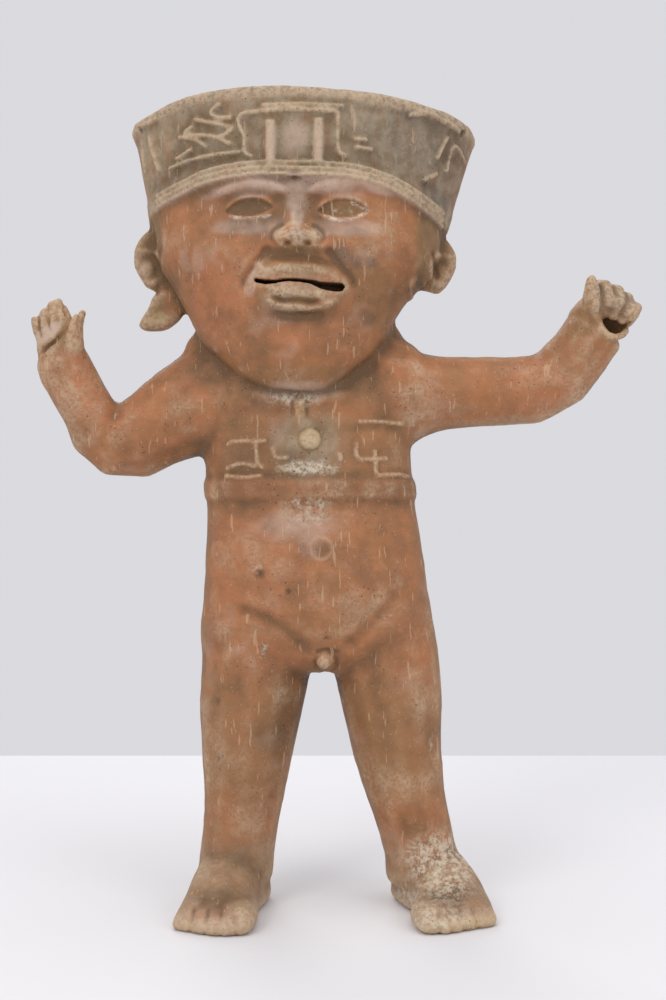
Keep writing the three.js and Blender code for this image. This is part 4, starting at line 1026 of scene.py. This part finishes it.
    # arms and hands
    coats.spot("fresh", (-138, 305), (14, 24), 0.9, turn=25)
    coats.spot("fresh", (118, 305), (22, 20), 0.8, turn=-40)
    coats.spot("fresh", (-50, 200), (30, 40), 0.45)
    coats.spot("fresh", (-50, 120), (12, 36), 0.45)
    coats.spot("fresh", (48, 130), (14, 30), 0.4)
    open_hand = step(-150, -154, x) * step(318, 330, z + wave)
    coats.lay("olive_and_shade", 0.75 * open_hand)
    coats.spot("bloom", (-165.5, 335), (11, 4.2), 1.0, turn=35, edge=0.3, ragged=0.2)
    coats.spot("fresh", (-154.5, 342), (3.4, 9), 0.6, turn=-25)
    fist = step(132, 142, x) * step(326, 336, z + wave)
    coats.lay("olive_and_shade", 0.7 * fist)
    coats.spot("soot", (163, 357), (16, 14), 0.62)
    coats.spot("fresh", (146, 357), (3.6, 11), 0.8)
    coats.spot("soot", (143.5, 368), (3, 4), 0.7)
    coats.lay("soot", 0.45 * step(-166, -172, x) * step(340, 350, z))
    # sides that face sideways: painted shade; the back half: greyer, in clouds
    side_shade = step(-0.62, -0.1, facing)
    coats.lay("olive_and_shade", 0.62 * side_shade * (z < 400))
    turned = step(-6, 22, y)
    coats.lay("olive_and_shade", turned * np.clip(0.35 + 0.35 * many_lumps(points, 30, 91, 3), 0, 1))
    coats.lay("soot", turned * np.clip(-0.35 + 0.8 * many_lumps(points, 42, 95, 3), 0, 0.45))
    coats.lay("slip", turned * np.clip(-0.3 + 0.8 * many_lumps(points, 36, 99, 3), 0, 0.5))
    # anywhere: faint clouds
    coats.lay("olive_and_shade", np.clip(-0.15 + 0.5 * many_lumps(points, 24, 101, 3), 0, 0.4))
    coats.lay("bloom", np.clip(-0.3 + 0.6 * many_lumps(points, 17, 105, 3), 0, 0.3))
    coats.lay("fresh", np.clip(-0.1 + 0.6 * many_lumps(points, 19, 109, 3), 0, 0.5))
    # painted shade: darker in every hollow of the skin
    coats.lay("hollow", np.clip(curve * -1.0 - 0.06, 0, 1))
    # paler on every ridge: rubbed wear and painted highlight
    coats.lay("worn_and_highlight", np.clip(curve * 1.0 - 0.06, 0, 1))
    return coats.share


# The clay's finish

def tone(red, green, blue):
    """A colour as it looks, from 0 to 255, turned into light."""
    def light(value):
        value /= 255
        return value / 12.92 if value <= 0.04045 else ((value + 0.055) / 1.055) ** 2.4
    return light(red), light(green), light(blue), 1.0


class Finish:
    """A node material that is put together from small named steps."""

    def __init__(self, name):
        self.material = bpy.data.materials.new(name)
        self.material.use_nodes = True
        self.tree = self.material.node_tree
        self.shader = self.tree.nodes["Principled BSDF"]
        self.place = self.tree.nodes.new("ShaderNodeTexCoord").outputs["Object"]

    def fill(self, socket, value):
        if isinstance(value, bpy.types.NodeSocket):
            self.tree.links.new(value, socket)
        else:
            socket.default_value = value

    def coat(self, name):
        node = self.tree.nodes.new("ShaderNodeAttribute")
        node.attribute_name = name
        return node.outputs["Fac"]

    def cloud(self, size, detail=3.0, rough=0.55, stretch=None, turn=(0.0, 0.0, 0.0)):
        """Noise whose patches are about size millimetres wide."""
        place = self.place
        if stretch:
            node = self.tree.nodes.new("ShaderNodeMapping")
            self.fill(node.inputs["Vector"], place)
            node.inputs["Scale"].default_value = stretch
            node.inputs["Rotation"].default_value = turn
            place = node.outputs[0]
        node = self.tree.nodes.new("ShaderNodeTexNoise")
        self.fill(node.inputs["Vector"], place)
        node.inputs["Scale"].default_value = 1000.0 / size
        node.inputs["Detail"].default_value = detail
        node.inputs["Roughness"].default_value = rough
        return node.outputs["Fac"]

    def cells(self, size):
        node = self.tree.nodes.new("ShaderNodeTexVoronoi")
        self.fill(node.inputs["Vector"], self.place)
        node.inputs["Scale"].default_value = 1000.0 / size
        return node.outputs["Distance"]

    def span(self, value, low, high, start=0.0, end=1.0):
        node = self.tree.nodes.new("ShaderNodeMapRange")
        node.interpolation_type = "SMOOTHSTEP"
        for name, given in (("Value", value), ("From Min", low), ("From Max", high), ("To Min", start),
                            ("To Max", end)):
            self.fill(node.inputs[name], given)
        return node.outputs["Result"]

    def sum(self, how, first, second):
        node = self.tree.nodes.new("ShaderNodeMath")
        node.operation = how
        self.fill(node.inputs[0], first)
        self.fill(node.inputs[1], second)
        return node.outputs[0]

    def times(self, first, second):
        return self.sum("MULTIPLY", first, second)

    def over(self, share, under, top, way="MIX"):
        node = self.tree.nodes.new("ShaderNodeMix")
        node.data_type = "RGBA"
        node.blend_type = way
        node.clamp_factor = True
        self.fill(node.inputs["Factor"], share)
        self.fill(node.inputs["A"], under)
        self.fill(node.inputs["B"], top)
        return node.outputs["Result"]

    def bumps(self, *layers):
        """Fine relief: pairs of a height and its size in millimetres."""
        normal = None
        for height, depth in layers:
            node = self.tree.nodes.new("ShaderNodeBump")
            node.inputs["Distance"].default_value = depth * MILLIMETRE
            node.inputs["Strength"].default_value = 1.0
            self.fill(node.inputs["Height"], height)
            if normal:
                self.fill(node.inputs["Normal"], normal)
            normal = node.outputs[0]
        self.fill(self.shader.inputs["Normal"], normal)


def fired_clay():
    """Orange fired clay, rubbed smooth, with buff slip rubbed thin, soot, earth and a limy crust from the ground,
    painted shade in hollows and creases, and painted highlights on ridges and at the right eye.
    """
    clay = Finish("fired_clay")
    wide, mid, small = clay.cloud(26, 4), clay.cloud(7, 4), clay.cloud(2.4, 3, 0.6)
    grain = clay.cloud(0.9, 2, 0.6)
    brushed = clay.cloud(9, 3, 0.6, stretch=(0.35, 0.35, 1.6))
    wiped = clay.cloud(8, 3, 0.6, stretch=(1.5, 1.5, 0.3))
    colour = clay.over(clay.span(wide, 0.35, 0.65), tone(166, 110, 70), tone(150, 103, 69))
    colour = clay.over(clay.times(clay.span(mid, 0.45, 0.7), 0.6), colour, tone(180, 123, 86))
    colour = clay.over(clay.times(clay.coat("fresh"), 0.62), colour, tone(182, 115, 78))
    colour = clay.over(clay.times(clay.span(brushed, 0.5, 0.72), 0.35), colour, tone(134, 98, 68))
    ragged = clay.span(mid, 0.28, 0.6, 0.62, 1.0)
    # olive grey, which also carries painted shade: the chin shadow and the sides that face sideways
    colour = clay.over(clay.times(clay.coat("olive_and_shade"), ragged), colour, tone(134, 105, 70))
    colour = clay.over(clay.times(clay.coat("slip"), clay.span(wiped, 0.3, 0.55, 0.55, 1.0)), colour,
                       clay.over(clay.span(mid, 0.4, 0.65), tone(164, 147, 123), tone(142, 124, 97)))
    colour = clay.over(clay.times(clay.coat("bloom"), clay.span(mid, 0.25, 0.55, 0.5, 0.95)), colour,
                       tone(190, 165, 148))
    colour = clay.over(clay.times(clay.coat("ochre"), clay.span(small, 0.3, 0.6, 0.3, 1.0)), colour,
                       tone(196, 172, 128))
    colour = clay.over(clay.times(clay.coat("soot"), clay.span(mid, 0.25, 0.6, 0.6, 1.0)), colour,
                       tone(100, 92, 82))
    # earth, and painted shade in the eyelid creases and under the lower lip
    colour = clay.over(clay.times(clay.coat("dirt_and_shade"), clay.span(mid, 0.2, 0.55, 0.6, 1.0)), colour,
                       tone(104, 76, 50))
    # painted shade in the hollows
    colour = clay.over(clay.times(clay.coat("hollow"), 0.75), colour, tone(92, 70, 46))
    # paler ridges: rubbed wear and painted highlight
    colour = clay.over(clay.times(clay.coat("worn_and_highlight"), clay.span(small, 0.35, 0.6, 0.25, 0.75)), colour,
                       tone(198, 172, 142))
    broken = clay.times(clay.span(clay.cloud(4.5, 4, 0.7), 0.4, 0.56), clay.span(small, 0.32, 0.56, 0.25, 1.0))
    # limy crust, and the painted highlights at the right eye
    crust_and_highlight = clay.times(clay.coat("lime_and_highlight"), broken)
    colour = clay.over(crust_and_highlight, colour, tone(220, 206, 184))
    dark_specks = clay.span(clay.cloud(1.5, 2, 0.7), 0.62, 0.7)
    colour = clay.over(clay.times(dark_specks, 0.42), colour, tone(106, 76, 50))
    pale_specks = clay.span(clay.cloud(1.2, 3, 0.7), 0.635, 0.69)
    colour = clay.over(clay.times(pale_specks, 0.5), colour, tone(208, 178, 146))
    scratches = clay.span(clay.cloud(7, 2, 0.5, stretch=(3.2, 1.0, 0.45), turn=(0.0, 0.6, 0.0)), 0.665, 0.70)
    colour = clay.over(clay.times(scratches, 0.4), colour, tone(206, 172, 140))
    pits = clay.times(clay.span(clay.cells(3.4), 0.16, 0.05), clay.span(wide, 0.45, 0.6))
    colour = clay.over(clay.times(pits, 0.7), colour, tone(86, 62, 42))
    clay.fill(clay.shader.inputs["Base Color"], colour)
    matt = clay.span(mid, 0.3, 0.7, 0.56, 0.72)
    matt = clay.sum("ADD", matt, clay.times(clay.coat("slip"), 0.12))
    clay.fill(clay.shader.inputs["Roughness"], clay.sum("ADD", matt, clay.times(crust_and_highlight, 0.1)))
    clay.shader.inputs["Specular IOR Level"].default_value = 0.32
    clay.bumps((small, 0.3), (grain, 0.12), (clay.times(crust_and_highlight, 1.0), 0.35), (clay.times(pits, -1.0), 0.4))
    return clay.material


# The stage

FLOOR_HALF = 0.478

def lay_floor():
    """A plain pale square floor under the figure."""
    half, cuts = FLOOR_HALF, 8
    lines = [half * (2 * i / cuts - 1) for i in range(cuts + 1)]
    points = [(x, y, 0.0) for y in lines for x in lines]
    faces = [(i + j * (cuts + 1), i + 1 + j * (cuts + 1), i + 1 + (j + 1) * (cuts + 1), i + (j + 1) * (cuts + 1))
             for j in range(cuts) for i in range(cuts)]
    floor = plain_mesh("pale_floor", points, faces=faces)
    paper = bpy.data.materials.new("pale_paper")
    paper.use_nodes = True
    paper.node_tree.nodes["Principled BSDF"].inputs["Base Color"].default_value = tone(228, 227, 228)
    paper.node_tree.nodes["Principled BSDF"].inputs["Roughness"].default_value = 0.9
    paper.node_tree.nodes["Principled BSDF"].inputs["Specular IOR Level"].default_value = 0.1
    floor.data.materials.append(paper)
    return floor


def hang_lamp(name, place, target, size, watts, colour=(1.0, 1.0, 1.0)):
    lamp = bpy.data.lights.new(name, "AREA")
    lamp.shape = "DISK"
    lamp.size = size
    lamp.energy = watts
    lamp.color = colour
    stand = bpy.data.objects.new(name, lamp)
    stand.location = place
    stand.rotation_euler = (Vector(target) - Vector(place)).to_track_quat("-Z", "Y").to_euler()
    bpy.context.scene.collection.objects.link(stand)


def set_stage():
    scene = bpy.context.scene
    scene.view_settings.view_transform = "Standard"
    studio = bpy.data.worlds.new("studio")
    studio.use_nodes = True
    studio.node_tree.nodes["Background"].inputs["Color"].default_value = tone(218, 218, 223)
    studio.node_tree.nodes["Background"].inputs["Strength"].default_value = 1.0
    scene.world = studio
    hang_lamp("window_left", (-0.9, -1.3, 1.3), (0, 0, 0.25), 0.9, 9.0)
    hang_lamp("window_right", (1.1, -1.1, 0.9), (0, 0, 0.25), 0.9, 4.0)
    hang_lamp("sky_above", (0.1, -0.2, 1.6), (0, 0, 0.2), 1.0, 5.0)
    hang_lamp("window_behind", (-0.4, 1.6, 1.2), (0, 0, 0.25), 1.0, 9.0)
    lens = bpy.data.cameras.new("camera")
    lens.lens = 50.0
    lens.sensor_width = 36.0
    lens.clip_start = 0.01
    camera = bpy.data.objects.new("camera", lens)
    camera.location = ((STANDS_AT[0]) * MILLIMETRE, (-822.0 + STANDS_AT[1]) * MILLIMETRE, 0.2387)
    camera.rotation_euler = (math.pi / 2, 0.0, 0.0)
    scene.collection.objects.link(camera)
    scene.camera = camera
    lay_floor()


def set_figure():
    clay = fired_clay()
    block = shape_figure(clay)
    piece, broad = finish_skin(block)
    points, triangles = mesh_arrays(piece)
    points = points.astype(np.float64)
    near = rub(block.skin, 1.6)
    # the skin's curve: below zero in hollows, for painted shade; above zero on ridges, for wear and painted
    # highlight
    curve = 1.1 * block.at(near, points) + 0.45 * block.at(broad, points)
    # how much the skin faces sideways, for the painted shade on the sides
    facing = block.at(broad, points + (0, 1.5, 0)) - block.at(broad, points - (0, 1.5, 0))
    coats = coat_figure(points, curve, facing / 3.0)
    put_away(piece)
    figure = face_mesh("clay_figure", (points + STANDS_AT) * MILLIMETRE, triangles)
    for name, share in coats.items():
        figure.data.attributes.new(name, "FLOAT", "POINT").data.foreach_set(
            "value", share.astype(np.float32))
    figure.data.materials.append(clay)
    figure.data.polygons.foreach_set("use_smooth", np.ones(len(figure.data.polygons), bool))
    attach(figure, "root")
    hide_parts("sonriente_figure")
    return figure


set_stage()
set_figure()
